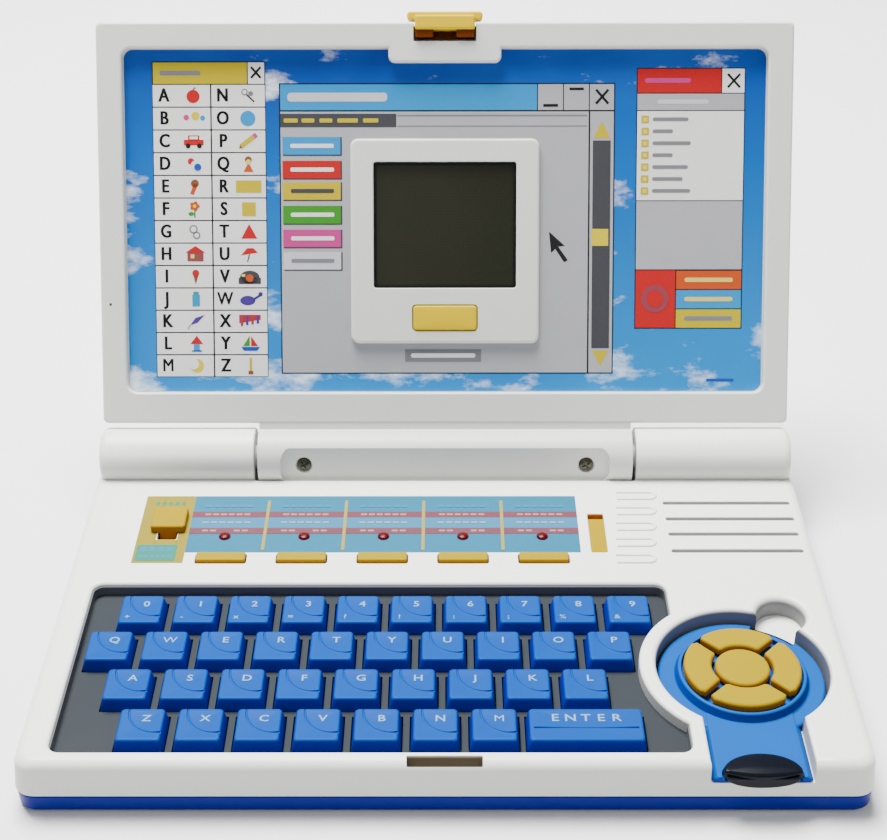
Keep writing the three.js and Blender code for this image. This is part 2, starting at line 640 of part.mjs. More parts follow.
const LW = LID_WIDTH / 2;

function lidRing(inset, z) {
  return { pts: ring(-LW + inset, LW - inset, LID_Y0 + inset, LID_Y1 - inset, LID_CORNER, SEG), z };
}

const windowY = [LID_Y0 + WINDOW_LOW, LID_Y0 + WINDOW_LOW + LCD_WINDOW[1]];
const contrastY = [LID_Y0 + CONTRAST_LOW, LID_Y0 + CONTRAST_LOW + CONTRAST[1]];
const pivot = [LID_Y1 - LATCH_PIVOT[0], LID_FACE - LATCH_PIVOT[1]];
const notchHalf = LATCH_HALF + 0.6;
const notchLow = HINGE_Y - LATCH_SLOT_Y[1] - 0.6;
const barrelLen = HINGE_HALF - GAP;

function lidNotch() {
  const hole = block(-notchHalf, notchHalf, notchLow, LID_Y1 + 1, SPLIT - 4, LID_FACE + 1);
  return hole.add(rod(-LATCH_HALF - 2.4, LATCH_HALF + 2.4, ...pivot, 1.6, 16));
}

{
  const side = [lidRing(0, SPLIT + 0.15), lidRing(0, LID_FACE - 1)];
  const face = loft([...side, lidRing(0.3, LID_FACE - 0.3), lidRing(0.9, LID_FACE)]);
  const thick = 1.6;
  const px0 = -LW + BEZEL_SIDE;
  const py0 = LID_Y0 + BEZEL_LOW;
  const py1 = LID_Y1 - BEZEL_TOP;
  let hollow = rounded(-LW + WALL, LW - WALL, LID_Y0 + WALL, LID_Y1 - WALL, SPLIT - 1, LID_FACE - WALL, 2, 3);
  const ledge = rounded(px0 - thick, -px0 + thick, py0 - thick, py1 + thick, FLOOR - thick, LID_FACE, 6);
  hollow = hollow.subtract(ledge);
  let front = face.subtract(hollow);
  const tab = rounded(-21.9, 21.9, py1 - 5.6, py1 + 6, FLOOR - 0.5, LID_FACE, 2.5, 3);
  const picture = rounded(px0, -px0, py0, py1, FLOOR, LID_FACE + 1, 4);
  front = front.subtract(picture.subtract(tab));
  // display frame with the pockets behind it
  const fy = LID_Y0 + LCD_FRAME_LOW;
  const fw = LCD_FRAME[0] / 2;
  const frameRing = (inset, z) => {
    const [low, high] = [fy + inset, fy + LCD_FRAME[1] - inset];
    return { pts: ring(-fw + inset, fw - inset, low, high, 3, 4), z };
  };
  const frameSide = [frameRing(0, FLOOR - 0.5), frameRing(0, FRAME_FACE - 1.1)];
  front = front.add(loft([...frameSide, frameRing(1.1, FRAME_FACE)]));
  const lcdHalf = LCD_WINDOW[0] / 2;
  front = front.subtract(block(-lcdHalf, lcdHalf, ...windowY, SPLIT, FRAME_FACE + 1));
  const pocket = [-lcdHalf - 3.6, lcdHalf + 3.6, windowY[0] - 3, windowY[1] + 5];
  front = front.subtract(block(...pocket, SPLIT - 1, FRAME_FACE - 1.4));
  const bw = CONTRAST[0] / 2 + SLIDE;
  const [low, high] = contrastY;
  front = front.subtract(rounded(-bw, bw, low - SLIDE, high + SLIDE, SPLIT, FRAME_FACE + 1, 1.4, 3));
  front = front.subtract(block(-bw - 2, bw + 2, low - 2, high + 2, SPLIT - 1, FRAME_FACE - 1.4));
  // front half of the barrel, with the neck and the stub axles
  let barrel = rod(-barrelLen, barrelLen, 0, 0, HINGE_R, 48);
  barrel = barrel.add(block(-barrelLen, barrelLen, 0, LID_Y0 + 1, SPLIT - 2, LID_FACE - 0.3));
  barrel = barrel.subtract(rod(-barrelLen + 3, barrelLen - 3, 0, 0, BARREL_BORE, 36));
  const neckHollow = [-barrelLen + 3, barrelLen - 3, -1, LID_Y0 + WALL + 2];
  barrel = barrel.subtract(block(...neckHollow, SPLIT - 3, LID_FACE - WALL - GAP));
  const tilt = THREE.MathUtils.degToRad(FLAT_TILT);
  const flatCut = new THREE.BoxGeometry(FLAT_LEN, 30, 6);
  flatCut.translate(0, 0, BARREL_FLAT + 3);
  flatCut.rotateX(tilt);
  barrel = barrel.subtract(solid(flatCut));
  barrel = barrel.subtract(block(-LW, LW, -20, LID_Y0 + 4, -20, SPLIT + 0.15));
  front = front.add(barrel);
  for (const x of [-SCREW_X, SCREW_X]) {
    const hole = new THREE.CylinderGeometry(SCREW_R, SCREW_R, 12, 16);
    hole.rotateX(Math.PI / 2 + tilt);
    hole.translate(x, -Math.sin(tilt) * BARREL_FLAT, Math.cos(tilt) * BARREL_FLAT);
    front = front.subtract(solid(hole));
  }
  for (const side of [-1, 1]) {
    const span = [side * (barrelLen - 1), side * (HINGE_HALF + TRUNNION_LEN)].sort((p, q) => p - q);
    front = front.add(rod(span[0], span[1], 0, 0, TRUNNION_R, 28));
  }
  front = front.subtract(lidNotch());
  place('lid_front_shell', openLid(front), '#dcdcd8', 0.4);

  // back shell: outer skin, back half of the barrel, posts that hold the display
  const skin = loft([
    lidRing(6.4, LID_BACK),
    lidRing(3.6, LID_BACK + 0.5),
    lidRing(1.7, LID_BACK + 1.6),
    lidRing(0.5, LID_BACK + 3.4),
    lidRing(0, LID_BACK + 5.4),
    lidRing(0, SPLIT - 0.15),
  ]);
  let back = skin.subtract(loft([
    lidRing(6.6, LID_BACK + WALL),
    lidRing(WALL + 1, LID_BACK + WALL + 1.6),
    lidRing(WALL, LID_BACK + 5.4),
    lidRing(WALL, SPLIT + 1),
  ]));
  let half = rod(-barrelLen + 0.5, barrelLen - 0.5, 0, 0, HINGE_R, 48);
  half = half.add(block(-barrelLen + 0.5, barrelLen - 0.5, 0, LID_Y0 + 3, -HINGE_R, SPLIT));
  const inside = barrelLen - 3;
  half = half.subtract(rod(-inside, inside, 0, 0, HINGE_R - WALL, 36));
  half = half.subtract(block(-inside, inside, 0, LID_Y0 + 6, -HINGE_R + WALL, SPLIT + 1));
  half = half.intersect(block(-LW, LW, -20, LID_Y0 + 3, -20, SPLIT - 0.15));
  back = back.add(half.subtract(block(-LW, LW, LID_Y0 + WALL, LID_Y0 + 8, LID_BACK + WALL, SPLIT)));
  back = back.subtract(rod(-HINGE_HALF, -barrelLen + 2.2, 0, 0, TRUNNION_R + GAP, 28));
  back = back.subtract(rod(barrelLen - 2.2, HINGE_HALF, 0, 0, TRUNNION_R + GAP, 28));
  for (const x of [-28, 28]) {
    for (const y of [windowY[0], windowY[1]]) {
      back = back.add(post(x, y, LID_BACK + WALL - 0.5, FRAME_FACE - 1.4 - GAP - 2 - GAP, 2.4, 2.4, 14));
    }
  }
  back = back.subtract(lidNotch());
  place('lid_back_shell', openLid(back), WHITE, 0.35);

  const lcdTop = FRAME_FACE - 1.4 - GAP;
  const lcd = [pocket[0] + GAP, pocket[1] - GAP, pocket[2] + GAP, pocket[3] - GAP];
  place('lcd_panel', openLid(block(...lcd, lcdTop - 2, lcdTop)), '#3b3c2e', 0.15);

  const cw = CONTRAST[0] / 2;
  const cap = loft([
    { pts: ring(-cw, cw, ...contrastY, 1.2, 3), z: FRAME_FACE - 2.2 },
    { pts: ring(-cw, cw, ...contrastY, 1.2, 3), z: FRAME_FACE + 0.2 },
    { pts: ring(-cw + 0.5, cw - 0.5, contrastY[0] + 0.5, contrastY[1] - 0.5, 1.2, 3), z: FRAME_FACE + 0.6 },
  ]);
  const flangeZ = [FRAME_FACE - 2.7, FRAME_FACE - 1.4 - GAP];
  const flange = block(-cw - 1.6, cw + 1.6, contrastY[0] - 1.4, contrastY[1] + 1.4, ...flangeZ);
  place('contrast_button', openLid(cap.add(flange)), YELLOW, 0.35);
}

// ---------------------------------------------------------------- latch on the lid's free edge
{
  const [py, pz] = pivot;
  const tongueY = HINGE_Y - (LATCH_SLOT_Y[0] + LATCH_SLOT_Y[1]) / 2;
  const [p0, p1] = LATCH_PRONG;
  const prong = [tongueY - 0.8, tongueY + 0.7, pz - 1.4, LID_FACE + PRONG_UP];
  const prongs = block(p0, p1, ...prong).add(block(-p1, -p0, ...prong));
  const faceY = tongueY + 2;
  const faceZ = [LID_FACE - 2.5, LID_FACE + LATCH_UP];
  const face = rounded(-LATCH_HALF, LATCH_HALF, faceY, LID_Y1 + 2.4, ...faceZ, 0.6, 2);
  const web = block(-LATCH_HALF, LATCH_HALF, tongueY - 0.8, faceY + 1, pz - 1.4, pz + 1);
  const body = block(-LATCH_HALF, LATCH_HALF, faceY, LID_Y1 + 2, pz - 1.4, LID_FACE - 1);
  const barZ = [pz - 2.4, LID_FACE - 1.4];
  const bar = rounded(-LATCH_BAR, LATCH_BAR, LID_Y1 + GAP + 0.5, LID_Y1 + 4.2, ...barZ, 1.2, 3);
  const pins = rod(-LATCH_HALF - 2, LATCH_HALF + 2, py, pz, 1.2, 12);
  place('lid_latch', openLid(united([prongs, face, web, body, bar, pins])), YELLOW, 0.35);
}

// origin on the table plane, under the middle of the open toy
const extent = new THREE.Box3().setFromObject(group);
group.position.y = -(extent.min.y + extent.max.y) / 2;

export default group;
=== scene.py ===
import json
import math
import bmesh
import bpy
from mathutils import Matrix, Vector


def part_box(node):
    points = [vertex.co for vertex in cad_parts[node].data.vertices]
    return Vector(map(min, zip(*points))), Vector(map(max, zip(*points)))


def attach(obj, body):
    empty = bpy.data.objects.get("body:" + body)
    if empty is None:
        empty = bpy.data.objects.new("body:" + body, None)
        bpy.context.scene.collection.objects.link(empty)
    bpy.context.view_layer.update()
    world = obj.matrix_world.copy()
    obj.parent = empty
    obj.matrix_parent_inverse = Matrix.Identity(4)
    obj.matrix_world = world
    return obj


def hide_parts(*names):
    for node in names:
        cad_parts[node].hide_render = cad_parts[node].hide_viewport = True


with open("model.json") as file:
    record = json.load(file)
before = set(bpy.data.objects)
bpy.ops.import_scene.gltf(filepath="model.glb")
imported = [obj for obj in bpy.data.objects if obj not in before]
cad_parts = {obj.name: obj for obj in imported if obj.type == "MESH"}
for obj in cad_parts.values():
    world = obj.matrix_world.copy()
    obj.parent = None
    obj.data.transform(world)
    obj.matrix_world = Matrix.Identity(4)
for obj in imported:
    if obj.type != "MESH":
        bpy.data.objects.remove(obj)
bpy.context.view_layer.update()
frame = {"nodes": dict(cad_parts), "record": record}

# ---------------------------------------------------------------- places taken from the frame, in millimetres
# Base pieces are drawn with y = 0 where the casing's flat top begins. Lid pieces are drawn flat:
# x across, y from the hinge axis along the lid, z out of the bezel face.
def span(node):
    low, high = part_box(node)
    return [v * 1000 for v in low], [v * 1000 for v in high]


JOINTS = {j["name"]: j for j in frame["record"]["behaviour"]["joints"]}
CASING = span("base_top_casing")
HALF = CASING[1][0]
FRONT = -7.8
SHIFT = CASING[0][1] - FRONT
BACK = CASING[1][1] - SHIFT
HINGE_Z = JOINTS["lid_hinge"]["pos_m"][2] * 1000
HINGE_Y = JOINTS["lid_hinge"]["pos_m"][1] * 1000 - SHIFT
HINGE_R = BACK - HINGE_Y
TOP = HINGE_Z - 4
SPLIT_Z = CASING[0][2]
DECK_TOP = span("keyboard_deck")[1][2]
OPEN = math.radians(180 - JOINTS["lid_hinge"]["range_deg"][1])
TO_BASE = Matrix.Scale(0.001, 4) @ Matrix.Translation((0, SHIFT, 0))
TO_LID = TO_BASE @ Matrix.Translation((0, HINGE_Y, HINGE_Z)) @ Matrix.Rotation(OPEN, 4, "X")


def centre(node):
    low, high = span(node)
    return (low[0] + high[0]) / 2, (low[1] + high[1]) / 2 - SHIFT


# mouse dock: its middle, its radius, the ground round it that the key well leaves,
# and half the width of its open neck
DOCK = centre("pad_centre")
DOCK_R = 29.2
DOCK_RIM = 35.0
NECK = 16.6
RECESS_R = 8.4
DOCK_DEPTH = 11.4
NECK_DEPTH = 7.6
RECESS_DEPTH = 8.0
# from the mouse's middle to the stems of its direction buttons; row of lamps; thickness of the shells
STEM_OUT = 15.15
LAMP_Y = 112
WALL = 2.2
# finger recess beside the mouse, and the key well as x0, x1, y0, y1
RECESS = (DOCK[0] + 17.5, DOCK[1] + 27)
WELL = (-HALF + 11.5, DOCK[0] - 21.5, -0.6, 84.3)
# lid: half its width, its two ends, and the heights of its faces and of the seam between its shells
LW = span("lid_front_shell")[1][0]
LID_Y0 = 13.4
LID_Y1 = 169.4
LID_FACE = 3.2
SPLIT = -3.0
LID_BACK = -11.8
# picture recess (half width, y0, y1), its floor, the display's frame on it and the window in that frame
PICTURE = (LW - 9.8, LID_Y0 + 12.2, LID_Y1 - 9.8)
FLOOR = -0.8
FRAME_FACE = 1.6
FRAME_HALF = 37.0
FRAME_Y = (LID_Y0 + 31.5, LID_Y0 + 111.5)
WINDOW_HALF = 28.0
WINDOW_Y = (LID_Y0 + 53.3, LID_Y0 + 102.5)
CONTRAST_Y = (LID_Y0 + 36.8, LID_Y0 + 46.4)


# ---------------------------------------------------------------- mesh tools
def keep(obj):
    bpy.context.scene.collection.objects.link(obj)
    return obj


def from_bmesh(bm, name="solid"):
    me = bpy.data.meshes.new(name)
    bm.to_mesh(me)
    bm.free()
    return keep(bpy.data.objects.new(name, me))


def solid(rings):
    """Closed body through rings of equal length, with flat ends."""
    bm = bmesh.new()
    rows = [[bm.verts.new(p) for p in r] for r in rings]
    n = len(rows[0])
    for a, b in zip(rows, rows[1:]):
        for i in range(n):
            j = (i + 1) % n
            bm.faces.new((a[i], a[j], b[j], b[i]))
    bm.faces.new(rows[0][::-1])
    bm.faces.new(rows[-1])
    bmesh.ops.recalc_face_normals(bm, faces=bm.faces)
    return from_bmesh(bm)


def evaluated(obj):
    """New mesh of an object as its modifiers and curves leave it."""
    bpy.context.view_layer.update()
    return bpy.data.meshes.new_from_object(obj.evaluated_get(bpy.context.evaluated_depsgraph_get()))


def combine(obj, others, how):
    for o in others:
        m = obj.modifiers.new("b", "BOOLEAN")
        m.operation = how
        m.solver = "MANIFOLD"
        m.object = o
        me = evaluated(obj)
        obj.modifiers.clear()
        obj.data = me
        bpy.data.objects.remove(o)
    return obj


def cut(obj, *others):
    return combine(obj, others, "DIFFERENCE")


def add(obj, *others):
    return combine(obj, others, "UNION")


def meet(obj, *others):
    return combine(obj, others, "INTERSECT")


def moved(obj, matrix):
    obj.data.transform(matrix)
    return obj


def outline(x0, x1, y0, y1, r, n=8):
    pts = []
    for cx, cy, q in ((x1 - r, y1 - r, 0), (x0 + r, y1 - r, 1), (x0 + r, y0 + r, 2), (x1 - r, y0 + r, 3)):
        for i in range(n + 1):
            a = (q + i / n) * math.pi / 2
            pts.append((cx + r * math.cos(a), cy + r * math.sin(a)))
    return pts


def circle(cx, cy, r, n=96):
    turns = [2 * math.pi * i / n for i in range(n)]
    return [(cx + r * math.cos(a), cy + r * math.sin(a)) for a in turns]


def at(pts, z):
    return [(x, y, z) for x, y in pts]


def block(x0, x1, y0, y1, z0, z1, r=0.05, n=1):
    pts = outline(x0, x1, y0, y1, r, n)
    return solid([at(pts, z0), at(pts, z1)])


def prism(pts, z0, z1):
    return solid([at(pts, z0), at(pts, z1)])


def rod(x0, x1, y, z, r, n=96):
    pts = circle(y, z, r, n)
    return solid([[(x, a, b) for a, b in pts] for x in (x0, x1)])


def lathe(profile, x=0.0, y=0.0, n=96):
    """Body of revolution about an upright axis, profile as (radius, height), ends left as caps."""
    return solid([at(circle(x, y, r, n), z) for r, z in profile])


def post(r, z0, z1, x, y, n):
    """Upright round bar."""
    return lathe([(r, z0), (r, z1)], x, y, n)


def rods(inner, outer, y, z, r, n):
    """The same level bar on the left and on the right."""
    return [rod(*sorted((s * inner, s * outer)), y, z, r, n) for s in (-1, 1)]


def bend(steps, first=1):
    """(1 - cosine, sine) at even steps of a quarter turn."""
    turns = [k / steps * math.pi / 2 for k in range(first, steps + 1)]
    return [(1 - math.cos(a), math.sin(a)) for a in turns]


def quarter(edge, steps=6):
    """(inset, drop) along a rounded-off edge, from the side to the top."""
    return [(edge * c, edge * (1 - s)) for c, s in bend(steps, 0)]


def pit(shape, floor, top, edge, foot=0.0, steps=6):
    """Cutter for an opening: shape(grow) gives its outline, the edge at the top is rounded off."""
    rings = [(0, floor)]
    if foot:
        rings = [(-foot * (1 - s), floor + foot * c) for c, s in bend(steps, 0)[:-1]]
    rings += [(inset, top - drop) for inset, drop in quarter(edge, steps)[:-1]]
    rings += [(edge, top + 0.01), (edge, top + 3)]
    return solid([at(shape(g), z) for g, z in rings])


def soft(shape, z0, z1, edge, under=0.0, steps=5, crown=0.0, rings_in=5):
    """Body with its top edge, and if asked its lower edge, rounded off; crown lifts its middle."""
    rings = [(0, z0)]
    if under:
        rings = [(-inset, z0 + drop) for inset, drop in reversed(quarter(under, steps))]
    rings += [(-inset, z1 - drop) for inset, drop in quarter(edge, steps)]
    out = [at(shape(g), z) for g, z in rings]
    if crown:
        last = shape(-edge)
        cx = sum(p[0] for p in last) / len(last)
        cy = sum(p[1] for p in last) / len(last)
        for k in range(1, rings_in + 1):
            s = 1 - k / (rings_in + 0.6)
            out.append([(cx + (x - cx) * s, cy + (y - cy) * s, z1 + crown * (1 - s * s)) for x, y in last])
    return solid(out)


def box_shape(x0, x1, y0, y1, r, n=6):
    return lambda g: outline(x0 - g, x1 + g, y0 - g, y1 + g, max(r + g, 0.05), n)


def centred(half, y0, y1, r, n=6):
    return box_shape(-half, half, y0, y1, r, n)


def round_shape(x, y, r, n=96):
    return lambda g: circle(x, y, r + g, n)


def tube(path, r, n=10):
    """Round bar along a path that lies in a level plane."""
    rings = []
    for i, p in enumerate(path):
        a, b = Vector(path[max(i - 1, 0)]), Vector(path[min(i + 1, len(path) - 1)])
        t = (b - a).normalized()
        side = Vector((-t.y, t.x, 0))
        rings.append([Vector(p) + side * u + Vector((0, 0, v)) for u, v in circle(0, 0, r, n)])
    return solid(rings)


def shade(me, limit):
    bm = bmesh.new()
    bm.from_mesh(me)
    bmesh.ops.remove_doubles(bm, verts=bm.verts, dist=1e-7)
    bmesh.ops.dissolve_degenerate(bm, edges=bm.edges, dist=1e-8)
    for f in bm.faces:
        f.smooth = True
    for e in bm.edges:
        e.smooth = len(e.link_faces) == 2 and e.calc_face_angle(0) < math.radians(limit)
    bm.to_mesh(me)
    bm.free()


def piece(obj, name, mats, body, nodes=(), limit=32):
    """Names and finishes a piece: moves it into the frame, shades it and hangs it on its CAD body."""
    obj.name = name
    obj.data.name = name
    obj.data.transform(TO_LID if body in ("lid", "latch", "contrast") else TO_BASE)
    shade(obj.data, limit)
    if not isinstance(mats, (list, tuple)):
        mats = [mats]
    if len(mats) == 1:
        obj.data.materials.clear()
    for m in mats:
        obj.data.materials.append(m)
    w = obj.modifiers.new("normals", "WEIGHTED_NORMAL")
    w.keep_sharp = True
    w.weight = 80
    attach(obj, body)
    if nodes:
        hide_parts(*nodes)
    return obj


# ---------------------------------------------------------------- materials
def srgb(r, g, b):
    def lin(c):
        c /= 255
        return c / 12.92 if c <= 0.04045 else ((c + 0.055) / 1.055) ** 2.4
    return (lin(r), lin(g), lin(b), 1)


def fill(node, **values):
    """Uniform values straight onto a node's sockets; _ stands for a space in a socket's name."""
    for k, v in values.items():
        node.inputs[k.replace("_", " ")].default_value = v
    return node


class Graph:
    """Short hand for a node tree with one Principled shader."""

    def __init__(self, name):
        self.mat = bpy.data.materials.new(name)
        self.mat.use_nodes = True
        self.tree = self.mat.node_tree
        self.shader = self.tree.nodes["Principled BSDF"]
        self.place = self.node("ShaderNodeTexCoord").outputs["Object"]

    def node(self, kind, **values):
        n = self.tree.nodes.new(kind)
        for k, v in values.items():
            setattr(n, k, v)
        return n

    def link(self, a, b):
        self.tree.links.new(a, b)

    def set(self, **values):
        fill(self.shader, **values)

    def feed(self, socket, value):
        """A constant or a link into a socket."""
        if isinstance(value, (int, float, tuple)):
            socket.default_value = value
        else:
            self.link(value, socket)

    def colour(self, link):
        self.link(link, self.shader.inputs["Base Color"])

    def rough(self, link):
        self.link(link, self.shader.inputs["Roughness"])

    def normal(self, link):
        self.link(link, self.shader.inputs["Normal"])

    def scaled(self, scale):
        m = fill(self.node("ShaderNodeMapping"), Scale=scale)
        self.link(self.place, m.inputs["Vector"])
        return m.outputs["Vector"]

    def noise(self, scale, detail=3.0, rough=0.5, coord=None):
        n = fill(self.node("ShaderNodeTexNoise"), Scale=scale, Detail=detail, Roughness=rough)
        self.link(coord or self.place, n.inputs["Vector"])
        return n.outputs["Fac"]

    def remap(self, value, a, b, c, d):
        n = self.node("ShaderNodeMapRange")
        for i, v in enumerate((a, b, c, d)):
            n.inputs[i + 1].default_value = v
        self.link(value, n.inputs[0])
        return n.outputs[0]

    def math(self, how, a, b):
        n = self.node("ShaderNodeMath", operation=how)
        self.feed(n.inputs[0], a)
        self.feed(n.inputs[1], b)
        return n.outputs[0]

    def mix(self, factor, a, b):
        n = self.node("ShaderNodeMix", data_type="RGBA")
        for i, v in ((0, factor), (6, a), (7, b)):
            self.feed(n.inputs[i], v)
        return n.outputs[2]

    def split(self, vector):
        n = self.node("ShaderNodeSeparateXYZ")
        self.link(vector, n.inputs[0])
        return n.outputs

    def bump(self, height, strength, distance, before=None):
        n = fill(self.node("ShaderNodeBump"), Strength=strength, Distance=distance)
        self.link(height, n.inputs["Height"])
        if before is not None:
            self.link(before, n.inputs["Normal"])
        return n.outputs["Normal"]


# Painted shade: grey laid over the steep walls inside the casing's pits.
PAINTED_PIT_SHADE = (0.17, 0.17, 0.165, 1)


def scale_tone(tone, factor):
    return tuple(c * factor for c in tone[:3]) + (1,)


def plastic(name, tone, deep, rough, grain, sides=None, spec=0.4, mottle=0.3, edge=0.85, pits=()):
    """Moulded plastic: flow mottling, a fine sparked grain, and rubbed patches that shine a little more.

    sides is a darker colour painted on upright faces as shade; pits are circles (x, y, radius) whose steep
    walls get painted shade.
    """
    g = Graph(name)
    flow = g.noise(26, 4, 0.6, g.scaled((1, 1.6, 1)))
    colour = g.mix(g.remap(flow, 0.35, 0.75, 0, mottle), tone, deep)
    # Painted shade: upright faces turn towards the sides colour, as if less lit from above.
    if sides:
        up = g.split(g.node("ShaderNodeTexCoord").outputs["Normal"])[2]
        colour = g.mix(g.remap(up, 0.15, edge, 0, 1), sides, colour)
    # Painted shade: steep walls inside each pit circle turn grey.
    for x, y, r in pits:
        d = g.node("ShaderNodeVectorMath", operation="DISTANCE")
        g.link(g.scaled((1, 1, 0)), d.inputs[0])
        d.inputs[1].default_value = (x / 1000, (y + SHIFT) / 1000, 0)
        inside = g.remap(d.outputs["Value"], r / 1000, (r + 1) / 1000, 1, 0)
        steep = g.remap(up, 0.2, 0.9, 1, 0)
        colour = g.mix(g.math("MULTIPLY", inside, steep), colour, PAINTED_PIT_SHADE)
    g.colour(colour)
    wear = g.noise(60, 5, 0.65)
    g.rough(g.remap(wear, 0.3, 0.75, rough - 0.03, rough + 0.04))
    fine = g.bump(g.noise(2600, 2, 0.5), grain, 0.00006)
    broad = g.bump(g.noise(55, 2, 0.5), 0.12, 0.0002, fine)
    g.normal(broad)
    g.set(Specular_IOR_Level=spec)
    return g.mat


def ink(name, tone):
    """Printed colour: halftone-fine speckle and slight density changes."""
    g = Graph(name)
    dens = g.noise(90, 4, 0.6)
    dots = fill(g.node("ShaderNodeTexVoronoi"), Scale=3000)
    g.link(g.place, dots.inputs["Vector"])
    base = g.mix(g.remap(dens, 0.3, 0.8, 0, 0.28), tone, scale_tone(tone, 0.8))
    base = g.mix(g.remap(dots.outputs["Distance"], 0.0, 0.9, 0.0, 0.02), base, (0.6, 0.6, 0.6, 1))
    g.colour(base)
    g.rough(g.remap(dens, 0.3, 0.7, 0.37, 0.48))
    g.normal(g.bump(g.noise(1500, 2, 0.5), 0.05, 0.00003))
    g.set(Specular_IOR_Level=0.15)
    return g.mat


def sky_ink():
    """Card print: deep blue sky, paler towards its foot, with banks of cloud."""
    g = Graph("card_sky")
    z = g.split(g.place)[2]
    height = g.remap(z, 0.04, 0.17, 0, 1)
    patch = g.noise(22, 3, 0.5)
    blue = g.mix(height, (0.0, 0.23, 0.56, 1), (0.0, 0.028, 0.27, 1))
    blue = g.mix(g.remap(patch, 0.35, 0.7, 0, 0.4), blue, (0.0, 0.115, 0.46, 1))
    drift = g.scaled((1, 1, 2.3))
    puff = g.noise(34, 9, 0.62, drift)
    bank = g.noise(13, 2, 0.5, drift)
    amount = g.math("ADD", g.math("MULTIPLY", puff, 0.62), g.math("MULTIPLY", bank, 0.38))
    bias = g.remap(z, 0.05, 0.165, 0.045, -0.075)
    cloud = g.remap(g.math("ADD", amount, bias), 0.535, 0.64, 0, 0.92)
    tint = g.mix(g.remap(puff, 0.4, 0.7, 0, 1), srgb(176, 216, 246), srgb(250, 252, 255))
    g.colour(g.mix(cloud, blue, tint))
    g.rough(g.remap(patch, 0.3, 0.7, 0.34, 0.46))
    g.normal(g.bump(g.noise(900, 2, 0.5), 0.05, 0.00004))
    g.set(Specular_IOR_Level=0.15)
    return g.mat


def metal(name, tone, rough=0.3):
    g = Graph(name)
    brush = g.noise(700, 4, 0.6, g.scaled((1, 5, 1)))
    g.colour(g.mix(g.remap(brush, 0.3, 0.7, 0, 0.7), tone, scale_tone(tone, 0.55)))
    g.rough(g.remap(brush, 0.3, 0.7, rough - 0.08, rough + 0.14))
    g.normal(g.bump(brush, 0.15, 0.00005))
    g.set(Metallic=1)
    return g.mat


def display_glass():
    """Unlit grey-green display behind clear plastic, with its faint cell rows."""
    g = Graph("display")
    cells = g.node("ShaderNodeTexBrick", offset=0.0)
    fill(cells, Scale=1, Mortar_Size=0.00006, Brick_Width=0.0011, Row_Height=0.0011,
         Color1=(0.014, 0.015, 0.008, 1), Color2=(0.015, 0.016, 0.0085, 1), Mortar=(0.019, 0.020, 0.011, 1))
    turn = fill(g.node("ShaderNodeMapping"), Rotation=(-OPEN, 0, 0))
    g.link(g.place, turn.inputs["Vector"])
    g.link(turn.outputs["Vector"], cells.inputs["Vector"])
    haze = g.noise(30, 3, 0.5)
    g.colour(g.mix(g.remap(haze, 0.3, 0.7, 0, 0.25), cells.outputs["Color"], (0.011, 0.012, 0.006, 1)))
    g.rough(g.remap(haze, 0.3, 0.7, 0.2, 0.3))
    g.set(Specular_IOR_Level=0.15)
    g.normal(g.bump(haze, 0.03, 0.0002))
    return g.mat


WHITE = plastic("white_plastic", srgb(238, 238, 234), srgb(230, 230, 225), 0.36, 0.12)
# Painted shade: the casing's upright faces and the walls of the finger recess and mouse dock are painted
# darker grey.
CASING_WHITE = plastic("casing_plastic", srgb(240, 240, 236), srgb(233, 233, 228), 0.36, 0.12,
                       sides=srgb(190, 191, 186), edge=0.6, pits=((*RECESS, 9.6), (*DOCK, 29.8)))
# Painted shade: a darker copy of the white plastic for the lid front, which faces away from the light above.
LID_WHITE_SHADED = plastic("lid_plastic_shaded", srgb(212, 213, 207), srgb(204, 205, 198), 0.42, 0.16)
TRAY_BLUE = plastic("tray_plastic", (0.0, 0.0045, 0.16, 1), (0.0, 0.003, 0.13, 1), 0.38, 0.1,
                    spec=0.1, mottle=0.2)
# Painted shade: the key sides take a darker, deeper blue than the tops.
KEY_BLUE = plastic("key_plastic", (0.0, 0.053, 0.265, 1), (0.0, 0.044, 0.235, 1), 0.38, 0.08,
                   sides=(0.0, 0.012, 0.32, 1), spec=0.05)
# Painted shade: the mouse's upright faces take a darker blue than its tops.
MOUSE_BLUE = plastic("mouse_plastic", (0.0, 0.074, 0.32, 1), (0.0, 0.062, 0.28, 1), 0.38, 0.08,
                     sides=(0.0, 0.020, 0.22, 1), spec=0.05)
# Painted shade: the upright faces of the yellow parts take a darker orange-yellow than their tops.
YELLOW = plastic("yellow_plastic", (0.30, 0.212, 0.0, 1), (0.27, 0.185, 0.0, 1), 0.38, 0.08,
                 sides=(0.30, 0.125, 0.0, 1), spec=0.03)
# Painted light: the same yellow plastic as YELLOW at about twice its brightness, to make up for the weaker
# light on the lid face.
LID_YELLOW_BRIGHTENED = plastic("lid_yellow_plastic", (0.62, 0.435, 0.0, 1), (0.56, 0.385, 0.0, 1), 0.38, 0.08,
                     spec=0.03)
BLACK = plastic("black_plastic", (0.004, 0.005, 0.009, 1), (0.003, 0.004, 0.007, 1), 0.26, 0.06, spec=0.07)
DECK_GREY = plastic("deck_plastic", (0.024, 0.029, 0.034, 1), (0.019, 0.023, 0.027, 1), 0.6, 0.3, spec=0.08)
# Painted shade: dark grey lining laid on the key well's walls.
WELL_SHADE_GREY = plastic("well_shade_plastic", (0.10, 0.105, 0.11, 1), (0.075, 0.08, 0.085, 1), 0.6, 0.3, spec=0.08)
SLOT_TAN = plastic("slot_liner", (0.14, 0.11, 0.07, 1), (0.10, 0.08, 0.05, 1), 0.6, 0.2, spec=0.1)
